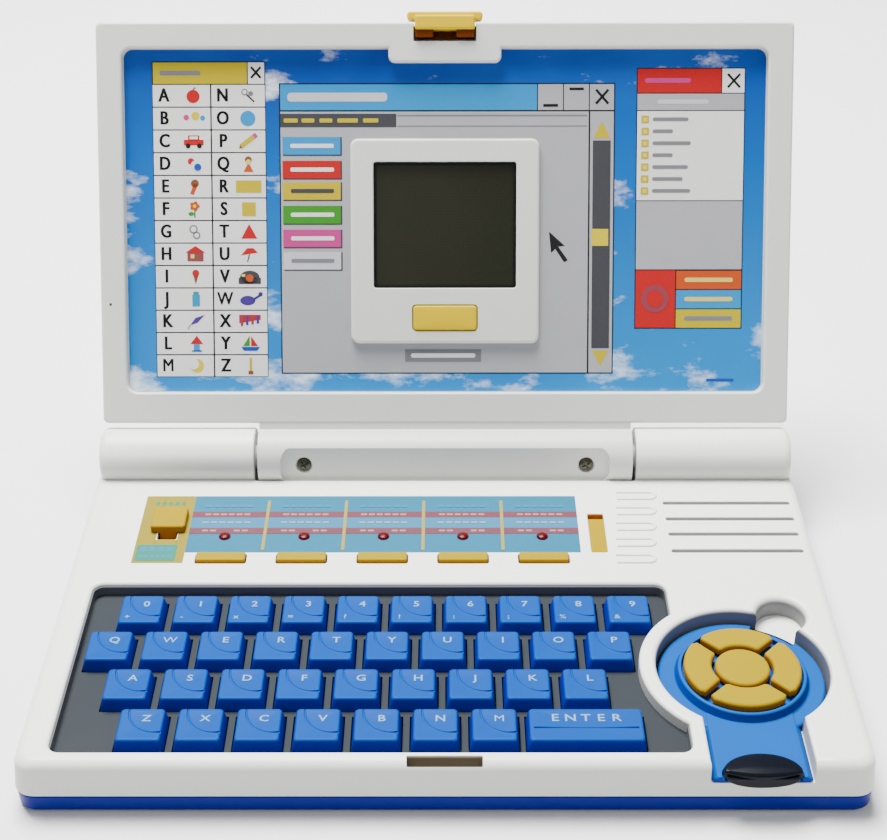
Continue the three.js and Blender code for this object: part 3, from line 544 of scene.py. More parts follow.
# Painted shade: the latch's yellow plastic coloured dark red-brown, as it looks in shade inside the opening.
LATCH_SHADE = plastic("latch_prong", (0.13, 0.026, 0.003, 1), (0.09, 0.018, 0.002, 1), 0.45, 0.1, spec=0.05)
# Painted shade: orange standing in for the yellow plastic seen in shade inside the switch slots.
SLOT_SHADE_ORANGE = plastic("slot_plastic", (0.62, 0.15, 0.004, 1), (0.5, 0.11, 0.002, 1), 0.5, 0.2, spec=0.2)
SLOT_DARK = plastic("slot_shadow", (0.09, 0.075, 0.01, 1), (0.05, 0.04, 0.006, 1), 0.6, 0.2, spec=0.1)
RUBBER = plastic("rubber", srgb(42, 42, 44), srgb(34, 34, 36), 0.72, 0.4, spec=0.3)
PCB = plastic("board_lacquer", srgb(24, 98, 52), srgb(12, 74, 36), 0.38, 0.2)
GRILLE = plastic("grille_cloth", (0.13, 0.10, 0.07, 1), (0.09, 0.07, 0.045, 1), 0.85, 0.6, spec=0.1)
RED_LENS = plastic("lamp_lens", (0.075, 0.001, 0.003, 1), (0.045, 0.0, 0.001, 1), 0.22, 0.02, spec=0.12)
DISPLAY = display_glass()
# Painted shade: near-black for the band round the display window, where the frame's edge throws shadow.
DISPLAY_EDGE_SHADE = plastic("display_edge_shade", (0.004, 0.004, 0.004, 1), (0.003, 0.003, 0.003, 1), 0.35, 0.05,
                       spec=0.15)
STEEL = metal("screw_steel", (0.085, 0.078, 0.06, 1), 0.34)
SKY = sky_ink()
LEGEND = ink("legend_white", (0.15, 0.30, 0.45, 1))
INKS = {k: ink("ink_" + k, v + (1,)) for k, v in dict(
    white=(0.72, 0.72, 0.70), black=(0.004, 0.004, 0.005), grey=(0.34, 0.34, 0.355), pale=(0.50, 0.50, 0.52),
    dark=(0.040, 0.040, 0.046), mid=(0.16, 0.16, 0.17), yellow=(0.46, 0.36, 0.0), cyan=(0.0, 0.22, 0.52),
    aqua=(0.0, 0.23, 0.40), red=(0.42, 0.004, 0.006), orange=(0.46, 0.055, 0.004), green=(0.03, 0.22, 0.01),
    pink=(0.44, 0.03, 0.19), purple=(0.05, 0.02, 0.20), blue=(0.0, 0.05, 0.34), brown=(0.18, 0.06, 0.02),
    brick=(0.21, 0.035, 0.055), cream=(0.62, 0.52, 0.10), teal=(0.0, 0.22, 0.22), lemon=(0.60, 0.47, 0.0),
    strip_aqua=(0.0, 0.122, 0.212), strip_mist=(0.018, 0.145, 0.27), strip_brick=(0.12, 0.026, 0.040),
    strip_lemon=(0.225, 0.180, 0.0), strip_teal=(0.004, 0.17, 0.10), strip_cream=(0.27, 0.22, 0.04),
    strip_text=(0.17, 0.24, 0.28), strip_pale=(0.30, 0.16, 0.16),
).items()}


# ---------------------------------------------------------------- top casing
def base_ring(inset, z, n=10):
    r = max(7 - inset * 0.5, 1)
    return at(outline(-HALF + inset, HALF - inset, FRONT + inset, BACK - inset, r, n), z)


def well_cutter(edge, z0, top, grow=0.0):
    x0, x1, y0, y1 = WELL
    well = box_shape(x0 - grow, x1 + grow, y0 - grow, y1 + grow, 4 + grow, 8)
    slab = pit(well, z0, top, edge)
    r = DOCK_RIM - grow
    rim = [(r, z0 - 1)] + [(r - inset, top - drop) for inset, drop in quarter(edge)[:-1]]
    rim += [(r - edge, top + 0.01), (r - edge, top + 5)]
    return cut(slab, lathe(rim, *DOCK, 128))


def casing_side():
    """The casing's side: a slight lean, then a round shoulder into the flat top."""
    side = [(0.25, SPLIT_Z), (0, SPLIT_Z + 0.3), (0.9, TOP - 4)]
    return side + [(0.9 + 3.5 * c, TOP - 4 + 4 * s) for c, s in bend(8)]


def make_casing():
    body = solid([base_ring(i, z) for i, z in casing_side()])
    inner = 75.0
    for s in (-1, 1):
        end = HALF - 2.5
        prof = [(inner, HINGE_R - 0.4), (inner + 0.4, HINGE_R), (end - 3, HINGE_R)]
        prof += [(end - 3 + 3 * v, HINGE_R - 3 * u) for u, v in bend(7)]
        barrel = solid([[(s * x, a, b) for a, b in circle(HINGE_Y, HINGE_Z, r, 96)] for x, r in prof])
        a, b = sorted((s * inner, s * end))
        skirt = block(a, b, HINGE_Y, BACK - 1.6, TOP - 5, HINGE_Z)
        meet(skirt, rod(a, b, HINGE_Y, HINGE_Z, HINGE_R - 0.02))
        add(body, barrel, skirt)
    # five thin raised loops beside the loudspeaker slots
    for k in range(5):
        y = 138.2 - 9.9 * k
        x0, x1 = 66.6 - 0.85 * k, 81.5 - 1.0 * k
        path = [(x0, y + 2.2, TOP - 0.05), (x1 - 2.2, y + 2.2, TOP - 0.05)]
        for i in range(1, 10):
            a = math.pi / 2 - i / 10 * math.pi
            path.append((x1 - 2.2 + 2.2 * math.cos(a), y + 2.2 * math.sin(a), TOP - 0.05))
        path += [(x1 - 2.2, y - 2.2, TOP - 0.05), (x0, y - 2.2, TOP - 0.05)]
        add(body, tube(path, 0.75, 14))
    cut(body, rod(-inner, inner, HINGE_Y, HINGE_Z, HINGE_R + 0.8, 128))

    inside = ((WALL, SPLIT_Z - 2), (WALL + 0.9, TOP - 4), (WALL + 2, TOP - WALL))
    hollow = solid([base_ring(i, z, 6) for i, z in inside])
    cut(hollow, rod(-77, 77, HINGE_Y, HINGE_Z, HINGE_R + 3, 64), well_cutter(0.4, SPLIT_Z - 3, TOP, WALL))
    cut(hollow, post(DOCK_R + WALL, TOP - DOCK_DEPTH - WALL, TOP + 2, *DOCK, 96))
    n = NECK + WALL
    cut(hollow, block(DOCK[0] - n, DOCK[0] + n, FRONT - 3, DOCK[1], TOP - NECK_DEPTH - WALL, TOP + 2))
    cut(hollow, post(RECESS_R + WALL, TOP - RECESS_DEPTH - WALL, TOP + 2, *RECESS, 64))
    cut(body, hollow)
    cut(body, *rods(88, HALF - 7, HINGE_Y, HINGE_Z, HINGE_R - WALL, 64))
    cut(body, *rods(73, 85, HINGE_Y, HINGE_Z, 5.4, 48))

    cut(body, well_cutter(1.5, SPLIT_Z - 2, TOP))
    cut(body, pit(round_shape(*DOCK, DOCK_R, 128), TOP - DOCK_DEPTH, TOP, 1.9, 0.8))
    neck = box_shape(DOCK[0] - NECK, DOCK[0] + NECK, FRONT - 6, DOCK[1] - 5, 0.6)
    cut(body, pit(neck, TOP - NECK_DEPTH, TOP, 1.3, 0.5))
    cut(body, pit(round_shape(*RECESS, RECESS_R, 72), TOP - RECESS_DEPTH, TOP, 2.8, 0.6, 8))

    def slot(x, half, y0, y1, r, n=4, edge=0.3, depth=4):
        cut(body, pit(box_shape(x - half, x + half, y0, y1, r, n), TOP - depth, TOP, edge, 0, 3))

    for k in range(5):
        x, y = centre(f"theme_button_{k + 1}")
        slot(x, 9.5, y - 2.9, y + 2.9, 1)
        cut(body, pit(round_shape(x, LAMP_Y, 2.4, 32), TOP - 4, TOP, 0.25, 0, 3))
    slot(centre("mode_slider")[0], 3.7, 110.4, 124.4, 0.8)
    slot(centre("power_slider")[0], 3.05, 102.5, 126.5, 0.8, edge=0.35)
    for y in (103.4, 113.7, 123.3, 133.5):
        slot(HALF - 29.9, 24.5, y - 0.95, y + 0.95, 0.9, 5, 0.4)
    slot(0, 12.1, -6.2, -2.8, 0.3, 2, depth=8)
    piece(body, "casing_top", CASING_WHITE, "base", ["base_top_casing"])


make_casing()


def make_border():
    """Painted shade: a dark grey lining on the key well's back and short walls, where those white walls lie
    in shade; and the liner of the latch slot.
    """
    z0, z1 = DECK_TOP + 0.03, TOP - 1.5
    a, b, c, d = WELL
    rim = prism(outline(a + 0.06, b - 0.06, c + 0.06, d - 0.06, 3.94), z0, z1)
    cut(rim, prism(outline(a + 0.5, b - 0.5, c - 3, d - 0.5, 3.5), z0 - 1, z1 + 1))
    cut(rim, post(DOCK_RIM + 0.3, z0 - 1, z1 + 1, *DOCK, 96))
    piece(rim, "well_wall_shade", WELL_SHADE_GREY, "base")
    liner = block(-12.0, 12.0, -3.15, -2.87, TOP - 7.9, TOP - 0.4, 0.05, 1)
    piece(liner, "latch_slot_liner", SLOT_TAN, "base")


make_border()


def cross_head(profile, x, y, arm, half, z0, z1):
    """Screw head turned from a profile, with a cross cut into it."""
    head = lathe(profile, x, y, 32)
    for w, d in ((arm, half), (half, arm)):
        cut(head, block(x - w, x + w, y - d, y + d, z0, z1))
    return head


# ---------------------------------------------------------------- bottom tray, feet and battery door
FEET = [(x, y) for y in (FRONT + 20, BACK - 20) for x in (22 - HALF, HALF - 22)]
DOOR = (44, 46, 112)
TRAY_SCREWS = ((-98, 14), (98, 14), (-98, 150), (98, 150), (0, 18), (0, 152))


def make_tray():
    rings = [base_ring(3.2, 0.5), base_ring(1.9, 0.6), base_ring(1.1, 0.9), base_ring(0.6, 1.5)]
    rings += [base_ring(0.3, SPLIT_Z - 0.7), base_ring(0.5, SPLIT_Z - 0.35)]
    body = solid(rings)
    cut(body, solid([base_ring(3.1, 2.5, 6), base_ring(3.1, SPLIT_Z + 3, 6)]))
    lip = solid([base_ring(2.7, SPLIT_Z - 1.7, 8), base_ring(2.7, SPLIT_Z + 2.2, 8)])
    add(body, cut(lip, solid([base_ring(4.4, SPLIT_Z - 4, 6), base_ring(4.4, SPLIT_Z + 4, 6)])))
    # shallow seat for the battery door, and the screw wells
    half, y0, y1 = DOOR
    cut(body, block(-half, half, y0, y1, -0.4, 1.15, 3, 6))
    for x, y in TRAY_SCREWS:
        cut(body, post(3.6, -0.4, 1.6, x, y, 40))
    piece(body, "tray", TRAY_BLUE, "base", ["base_bottom_tray"])
    door = soft(centred(half - 0.4, y0 + 0.4, y1 - 0.4, 2.8), 0.62, 1.12, 0.15, 0.15, 2)
    for k in range(7):
        cut(door, block(-14, 14, 52 + 2.4 * k, 53 + 2.4 * k, 0.4, 0.85, 0.4, 3))
    piece(door, "battery_door", TRAY_BLUE, "base")
    for i, (x, y) in enumerate(TRAY_SCREWS):
        profile = [(2.0, 1.55), (2.7, 1.5), (2.7, 1.1), (2.3, 0.8), (1.2, 0.68)]
        head = cross_head(profile, x, y, 1.5, 0.28, 0.4, 1.15)
        piece(head, f"tray_screw_{i + 1}", STEEL, "base")
    for i, (x, y) in enumerate(FEET):
        foot = lathe([(4.6, 0.0), (5.3, 0.05), (5.6, 0.25), (5.9, 0.62)], x, y, 48)
        piece(foot, f"foot_{i + 1}", RUBBER, "base")


make_tray()


# ---------------------------------------------------------------- deck, board, lamps and loudspeaker cloth
def dress(node, mat):
    o = frame["nodes"][node]
    o.data.materials.clear()
    o.data.materials.append(mat)


dress("keyboard_deck", DECK_GREY)
dress("main_board", PCB)
for k in range(5):
    x = centre(f"theme_button_{k + 1}")[0]
    dome = [(2.2, TOP - 2.4), (2.2, TOP + 0.2)]
    dome += [(2.2 * (1 - c), TOP + 0.2 + 0.95 * s) for c, s in bend(8)[:-1]]
    piece(lathe(dome, x, LAMP_Y, 40), f"lamp_{k + 1}", RED_LENS, "base")
cloth = soft(box_shape(HALF - 57, HALF - 4.6, 99, 138, 2), TOP - 2.75, TOP - 2.25, 0.1, 0, 2)
piece(cloth, "grille_cloth", GRILLE, "base")


# ---------------------------------------------------------------- keys
def glyph(text, size, thick=0.05, wide=1.0):
    cu = bpy.data.curves.new("glyph", "FONT")
    cu.body = text
    cu.size = size
    cu.extrude = thick
    cu.offset = 0 if text in "MW%&" else size * 0.014
    cu.resolution_u = 3
    cu.align_x = "CENTER"
    cu.align_y = "CENTER"
    ob = keep(bpy.data.objects.new("glyph", cu))
    me = evaluated(ob)
    bpy.data.objects.remove(ob)
    me.transform(Matrix.Scale(wide, 4, (1, 0, 0)))
    bm = bmesh.new()
    bm.from_mesh(me)
    bmesh.ops.remove_doubles(bm, verts=bm.verts, dist=1e-4)
    bm.to_mesh(me)
    bm.free()
    return me


def keycap(extra, z_low, z_deck, z_top):
    """Tapered cap with soft shoulders and a dished top that carries a curved mould line."""
    foot, head = (16.2, 16.4), (13.8, 14.2)

    def ring(w, d, r, z):
        return at(outline(-(w + extra) / 2, (w + extra) / 2, -d / 2, d / 2, r, 5), z)

    rings = [ring(foot[0], foot[1], 1.0, z_low), ring(foot[0], foot[1], 1.0, z_deck)]
    rings.append(ring(head[0] + 0.9, head[1] + 0.9, 1.3, z_top - 1.1))
    for c, s in bend(4):
        grow = 0.9 - 1.7 * c
        rings.append(ring(head[0] + grow, head[1] + grow, 1.3, z_top - 1.1 + 1.1 * s))
    for k in range(1, 7):
        s = 1 - k / 6.6
        w = (head[0] - 0.8) * s + extra * (s - 1)
        rings.append(ring(w, (head[1] - 0.8) * s, max(1.2 * s, 0.2), z_top - 0.32 * (1 - s * s)))
    cap = solid(rings)
    if extra:
        path = [(-17 + 34 * i / 16, -1.6, z_top - 0.12) for i in range(17)]
    else:
        path = []
        for i in range(15):
            a = math.radians(166 + i * (292 - 166) / 14)
            path.append((5.2 + 9.6 * math.cos(a), 5.8 + 9.6 * math.sin(a), z_top - 0.12))
    cut(cap, tube(path, 0.45, 10))
    return cap


letters = [n for n in frame["nodes"] if n.startswith("key_")]
lo, hi = span("key_q")
plain = keycap(0, lo[2] + 0.3, DECK_TOP, hi[2])
wide = keycap(22.6, lo[2] + 0.3, DECK_TOP, hi[2])
for node in sorted(letters):
    x, y = centre(node)
    kind = node[4:]
    source = wide if kind == "enter" else plain
    cap = keep(bpy.data.objects.new(node + "_cap", source.data.copy()))
    moved(cap, Matrix.Translation((x, y, 0)))
    piece(cap, node + "_cap", KEY_BLUE, node + "_body", [node], limit=38)
    reach = 17.9 if kind == "enter" else 6.7
    if kind == "enter":
        marks = [(c, 4.6, -10 + 5 * k, 2.9, f"legend_enter_{k + 1}") for k, c in enumerate("ENTER")]
    else:
        marks = [(kind.upper(), 4.1, 1.6, 2.7, f"legend_{kind}")]
    if kind.isdigit():
        marks.append(("+-x=?!:;%&"[int(kind)], 3.0, -4.3, -4.3, f"legend_{kind}_low"))
    for text, size, dx, dy, name in marks:
        legend = keep(bpy.data.objects.new("legend", glyph(text, size, 0.12, 1.15)))
        dip = 0.32 * (1 - max(abs(dx) / reach, abs(dy) / 6.7) ** 2)
        moved(legend, Matrix.Translation((x + dx, y + dy, hi[2] - dip + 0.02)))
        piece(legend, name, LEGEND, node + "_body")
bpy.data.objects.remove(plain)
bpy.data.objects.remove(wide)


# ---------------------------------------------------------------- theme buttons and switches
def yellow_cap(cap, node, limit=32):
    piece(cap, node + "_cap", YELLOW, node + "_body", [node], limit)


for k in range(5):
    node = f"theme_button_{k + 1}"
    x, y = centre(node)
    top = span(node)[1][2]
    cap = soft(box_shape(x - 9.1, x + 9.1, y - 2.5, y + 2.5, 0.9), TOP - 3.2, top, 0.6, 0, 4, 0.12)
    yellow_cap(cap, node)

lo, hi = span("mode_slider")
x = (lo[0] + hi[0]) / 2
y0, y1 = lo[1] - SHIFT, hi[1] - SHIFT
knob = soft(box_shape(lo[0], hi[0], y0, y1, 1.2), TOP + 0.3, hi[2], 0.9, 0.2, 5, 0.15)
add(knob, block(x - 3.3, x + 3.3, y0, y0 + 6, TOP - 3.7, TOP + 0.8, 0.4, 3))
piece(knob, "mode_knob", YELLOW, "mode_switch", ["mode_slider"])
# Painted shade: orange seat below the mode knob, for the yellow slot floor in shade.
seat = soft(box_shape(x - 7, x + 7, 104, 128, 1), TOP - 5.0, TOP - 4.3, 0.1, 0, 2)
piece(seat, "mode_slot_seat", SLOT_SHADE_ORANGE, "base")

lo, hi = span("power_slider")
x = (lo[0] + hi[0]) / 2
y0, y1 = lo[1] - SHIFT, hi[1] - SHIFT
knob = soft(box_shape(lo[0], hi[0], y0, y1, 0.8), TOP - 3.7, hi[2], 0.7, 0, 5, 0.1)
piece(knob, "power_knob", YELLOW, "power_switch", ["power_slider"])
seat = soft(box_shape(x - 6, x + 6, y0 - 3, y1 + 6, 1), TOP - 5.0, TOP - 4.3, 0.1, 0, 2)
piece(seat, "power_slot_seat", SLOT_DARK, "base")
# Painted shade: orange strip at the end of the power slot, for yellow plastic in shade.
liner = block(x - 2.95, x + 2.95, 126.28, 126.44, TOP - 3.9, TOP - 0.45, 0.04, 1)
piece(liner, "power_slot_liner", SLOT_SHADE_ORANGE, "base")


# ---------------------------------------------------------------- mouse and its buttons
# stems of the right, up, left, down and centre buttons
STEMS = [(x, y) for x, y in circle(*DOCK, STEM_OUT, 4)] + [DOCK]


def make_mouse():
    low = span("mouse_body")[0][2]
    plate_top = span("mouse_body")[1][2]
    rim = plate_top - 3.2
    r = 28.4
    disc = [(r - 1, low), (r - 0.3, low + 0.3), (r, low + 1), (r, rim - 1.2)]
    for inset, drop in quarter(1.2)[1:]:
        disc.append((r - inset, rim - drop))
    body = lathe(disc, *DOCK, 128)
    prof = [(23.5, rim - 1), (23.1, rim), (22.7, rim + 0.25)]
    for inset, drop in quarter(0.9):
        prof.append((21.9 - inset, plate_top - drop))
    plate = lathe(prof, *DOCK, 128)
    half = 16.2
    front = FRONT + 0.6
    rings = [(0.3, TOP - 7.3), (0, TOP - 7.0), (0.1, rim - 1.7), (0.6, rim - 1.0), (1.7, rim + 0.1)]
    rings.append((2.3, rim + 0.32))
    arm = solid([at(outline(DOCK[0] - half + i, DOCK[0] + half - i, front, DOCK[1] - 8, 1.2), z)
                 for i, z in rings])
    add(body, arm, plate)
    ang = math.atan2(RECESS[1] - DOCK[1], RECESS[0] - DOCK[0])
    notch = block(23.6, 52, -8.4, 8.4, TOP - 8, TOP + 10, 2.0, 5)
    moved(notch, Matrix.Translation((*DOCK, 0)) @ Matrix.Rotation(ang, 4, "Z"))
    cut(body, notch)
    cut(body, pit(round_shape(*DOCK, 20.5, 96), plate_top - 2.1, plate_top, 0.35, 0, 3))
    cut(body, post(18.8, low - 1, low + 2.2, *DOCK, 64))
    for x, y in STEMS:
        cut(body, post(2.4, low - 1, TOP + 3, x, y, 24))
    cut(body, pit(lambda g: lens(0.4 + g), TOP - 6.7, rim + 0.32, 0.3, 0, 3))
    piece(body, "mouse_shell", MOUSE_BLUE, "mouse", ["mouse_body"])


def lens(grow):
    """Outline of the select button: shallow arc in front, deep arc behind."""
    n = 26
    half = 12.6 + grow
    mid = FRONT + 0.8
    pts = []
    for i in range(n + 1):
        t = -1 + 2 * i / n
        pts.append((DOCK[0] + half * t, mid - (2 + grow) * (1 - t * t) - grow * 0.3))
    for i in range(1, n):
        a = math.pi * i / n
        t = math.cos(a)
        pts.append((DOCK[0] + half * t, mid + (8.4 + grow) * math.sqrt(1 - t * t * 0.97)))
    return pts


def sector(a, inset):
    """Outline of a direction button: a quarter ring, its ends parallel to the gaps, its corners eased."""
    n = 16
    gap = 1.1 - inset
    pts = []
    for way, radius, trim in ((1, 19.9 + inset, -1.1), (-1, 10.4 - inset, 0.6)):
        lim = math.pi / 4 - math.asin(gap / radius)
        for i in range(n + 1):
            t = way * (2 * lim * i / n - lim)
            ease = max(0, abs(t) / lim - 0.86) / 0.14
            r = radius + trim * ease ** 2
            pts.append((DOCK[0] + r * math.cos(a + t), DOCK[1] + r * math.sin(a + t)))
    return pts


make_mouse()
for k, node in enumerate(("pad_right", "pad_up", "pad_left", "pad_down")):
    lo, hi = span(node)
    a = k * math.pi / 2
    cap = soft(lambda g: sector(a, g), hi[2] - 2.7, hi[2], 1.25, 0, 6)
    add(cap, post(2, lo[2], hi[2] - 2, *STEMS[k], 24))
    yellow_cap(cap, node, 40)
lo, hi = span("pad_centre")
cap = soft(round_shape(*DOCK, 9.3, 72), hi[2] - 2.7, hi[2] - 0.35, 1.3, 0, 6, 0.35, 7)
add(cap, post(2, lo[2], hi[2] - 2, *DOCK, 24))
yellow_cap(cap, "pad_centre", 40)
lo, hi = span("select_button")
cap = soft(lens, lo[2], hi[2] - 0.35, 1.2, 0, 6, 0.35, 6)
lip = []
arc = [math.pi + math.pi * i / 24 for i in range(25)]
for inset, y in ((1.3, -1.14), (0.6, -1.0), (0.15, -0.6), (0.0, 0.05)):
    lip.append([(DOCK[0] + (11.9 - inset) * math.cos(t), FRONT + y, hi[2] - 2.2 + (4.4 - inset) * math.sin(t))
                for t in arc])
add(cap, solid(lip))
piece(cap, "select_cap", BLACK, "select", ["select_button"], limit=40)


# ---------------------------------------------------------------- lid: front shell with the hinge barrel
def lid_ring(inset, z, n=8):
    return at(outline(-LW + inset, LW - inset, LID_Y0 + inset, LID_Y1 - inset, 2.0, n), z)


TILT = math.radians(17)
BARREL = 73.5
HINGE_SCREWS = (-55.5, 55.5)
PIVOT = (LID_Y1 - 2.2, LID_FACE - 6.2)


def lid_notch():
    hole = block(-12.2, 12.2, HINGE_Y + 2.2, LID_Y1 + 1, SPLIT - 4, LID_FACE + 1, 0.3, 3)
    return add(hole, rod(-14, 14, PIVOT[0], PIVOT[1], 1.6, 24))


def make_front():
    rings = [lid_ring(0.15, SPLIT + 0.15), lid_ring(0, SPLIT + 0.35)]
    rings += [lid_ring(i, LID_FACE - d) for i, d in quarter(1.1)]
    body = solid(rings)
    half, y0, y1 = PICTURE
    hollow = block(-LW + 2.2, LW - 2.2, LID_Y0 + 2.2, LID_Y1 - 2.2, SPLIT - 1, LID_FACE - 2.2, 2, 4)
    cut(hollow, block(-half - 1.6, half + 1.6, y0 - 1.6, y1 + 1.6, FLOOR - 1.6, LID_FACE, 6, 8))
    cut(body, hollow)
    picture = pit(centred(half, y0, y1, 4, 10), FLOOR, LID_FACE, 0.9, 0.3)
    tab = centred(21.9, y1 - 5.6, y1 + 8, 2.5, 8)
    cut(body, cut(picture, soft(tab, FLOOR - 0.5, LID_FACE, 0.9)))
    add(body, soft(centred(FRAME_HALF, *FRAME_Y, 3.2, 8), FLOOR - 0.5, FRAME_FACE, 1.2))
    cut(body, pit(centred(WINDOW_HALF, *WINDOW_Y, 1.0, 4), SPLIT, FRAME_FACE, 0.45, 0, 4))
    pocket = (-WINDOW_HALF - 3.6, WINDOW_HALF + 3.6, WINDOW_Y[0] - 3, WINDOW_Y[1] + 5)
    cut(body, block(*pocket, SPLIT - 1, FRAME_FACE - 1.4))
    opening = centred(12.9, CONTRAST_Y[0] - 0.4, CONTRAST_Y[1] + 0.4, 1.6, 6)
    cut(body, pit(opening, SPLIT, FRAME_FACE, 0.35, 0, 4))
    cut(body, block(-14.9, 14.9, CONTRAST_Y[0] - 2, CONTRAST_Y[1] + 2, SPLIT - 1, FRAME_FACE - 1.4))
    barrel = rod(-BARREL, BARREL, 0, 0, HINGE_R, 128)
    add(barrel, block(-BARREL, BARREL, 0, LID_Y0 + 1, SPLIT - 2, LID_FACE - 0.3))
    cut(barrel, rod(-BARREL + 3, BARREL - 3, 0, 0, 6, 64))
    cut(barrel, block(-BARREL + 3, BARREL - 3, -1, LID_Y0 + 4.2, SPLIT - 3, LID_FACE - 2.5))
    turn = Matrix.Rotation(TILT, 4, "X")
    flat = pit(centred(64.6, -8.6, 8.4, 6.2, 12), 8.8, HINGE_R + 0.3, 0.5, 0.5)
    cut(barrel, moved(flat, turn))
    cut(barrel, block(-LW, LW, -20, LID_Y0 + 4, -20, SPLIT + 0.15))
    add(body, barrel)
    for x in HINGE_SCREWS:
        bore = post(1.6, 4, 12, x, 0, 32)
        sink = pit(round_shape(x, 0, 3.3, 48), 7.5, 8.8, 0.2, 0, 3)
        cut(body, moved(bore, turn), moved(sink, turn))
    add(body, *rods(BARREL - 1, 84, 0, 0, 5, 48))
    cut(body, lid_notch())
    cut(body, post(0.55, -1, 6, -131.4, 60.4, 20))
    piece(body, "lid_front", LID_WHITE_SHADED, "lid", ["lid_front_shell"])
    for i, x in enumerate(HINGE_SCREWS):
        head = lathe([(1.4, 4.5), (1.4, 7.5), (2.75, 7.55), (2.75, 8.0), (2.3, 8.4), (1.2, 8.62)], x, 0, 40)
        for w, d in ((1.7, 0.33), (0.33, 1.7)):
            slot = block(-w, w, -d, d, 8.0, 9, 0.08, 2)
            cut(head, moved(slot, Matrix.Translation((x, 0, 0)) @ Matrix.Rotation(0.5, 4, "Z")))
        piece(moved(head, turn), f"hinge_screw_{i + 1}", STEEL, "lid")


make_front()


# ---------------------------------------------------------------- lid: back shell
def make_back():
    rings = [lid_ring(6.4 * (1 - s), LID_BACK + 5.4 * c) for c, s in bend(8, 0)]
    rings += [lid_ring(0, SPLIT - 0.35), lid_ring(0.2, SPLIT - 0.15)]
    body = solid(rings)
    inner = ((6.6, LID_BACK + 2.2), (3.2, LID_BACK + 3.8), (2.2, LID_BACK + 5.4), (2.2, SPLIT + 1))
    cut(body, solid([lid_ring(i, z, 5) for i, z in inner]))
    half = rod(-BARREL + 0.5, BARREL - 0.5, 0, 0, HINGE_R, 128)
    add(half, block(-BARREL + 0.5, BARREL - 0.5, 0, LID_Y0 + 3, -HINGE_R, SPLIT))
    inside = BARREL - 3
    cut(half, rod(-inside, inside, 0, 0, HINGE_R - WALL, 64))
    cut(half, block(-inside, inside, 0, LID_Y0 + 6, -HINGE_R + WALL, SPLIT + 1))
    meet(half, block(-LW, LW, -20, LID_Y0 + 3, -20, SPLIT - 0.15))
    cut(half, block(-LW, LW, LID_Y0 + 2.2, LID_Y0 + 8, LID_BACK + 2.2, SPLIT))
    add(body, half)
    cut(body, *rods(BARREL - 2.2, 74, 0, 0, 5.3, 48))
    for x in (-28, 28):
        for y in WINDOW_Y:
            add(body, post(2.4, LID_BACK + 1.7, FRAME_FACE - 4.0, x, y, 24))
    cut(body, lid_notch())
    # wide shallow panel on the back, with its screw wells
    panel = centred(108, 34, 150, 8, 10)
    sink = [(-0.5, LID_BACK + 0.45), (0, LID_BACK + 0.3), (0.35, LID_BACK - 0.02), (0.35, LID_BACK - 2)]
    cut(body, solid([at(panel(g), z) for g, z in reversed(sink)]))
    screws = [(x, y) for x in (-118, 118) for y in (26, 158)]
    for x, y in screws:
        cut(body, post(3.4, LID_BACK - 2, LID_BACK + 1.5, x, y, 40))
    piece(body, "lid_back", WHITE, "lid", ["lid_back_shell"])
    for i, (x, y) in enumerate(screws):
        profile = [(r, LID_BACK + up) for r, up in ((2.6, 1.6), (2.6, 1.0), (2.1, 0.7), (1.1, 0.6))]
        head = cross_head(profile, x, y, 1.4, 0.28, LID_BACK, LID_BACK + 1.1)
        piece(head, f"lid_screw_{i + 1}", STEEL, "lid")


make_back()


# ---------------------------------------------------------------- display, contrast button and latch
lcd_top = FRAME_FACE - 1.7
lcd_shape = centred(WINDOW_HALF + 3.3, WINDOW_Y[0] - 2.7, WINDOW_Y[1] + 4.7, 0.6)
lcd = soft(lcd_shape, lcd_top - 2, lcd_top, 0.3)
piece(lcd, "display_panel", DISPLAY, "lid", ["lcd_panel"])
# Painted shade: a thin black ring inside the window's edge, standing in for the frame's shadow on the
# display.
opening = centred(WINDOW_HALF, *WINDOW_Y, 0.95)
edge = soft(lambda g: opening(g - 0.05), lcd_top - 0.05, lcd_top + 0.35, 0.1)
cut(edge, block(-WINDOW_HALF + 1.1, WINDOW_HALF - 1.1, WINDOW_Y[0] + 1.0, WINDOW_Y[1] - 1.3,
                lcd_top - 1, lcd_top + 2, 0.9, 4))
piece(edge, "display_border", DISPLAY_EDGE_SHADE, "lid")

cap = soft(centred(12.5, *CONTRAST_Y, 1.3), FRAME_FACE - 2.4, FRAME_FACE + 0.45, 0.6, 0, 5, 0.15)
add(cap, block(-14.1, 14.1, CONTRAST_Y[0] - 1.4, CONTRAST_Y[1] + 1.4,
               FRAME_FACE - 2.7, FRAME_FACE - 1.7, 0.5, 3))
piece(cap, "contrast_cap", LID_YELLOW_BRIGHTENED, "contrast", ["contrast_button"])


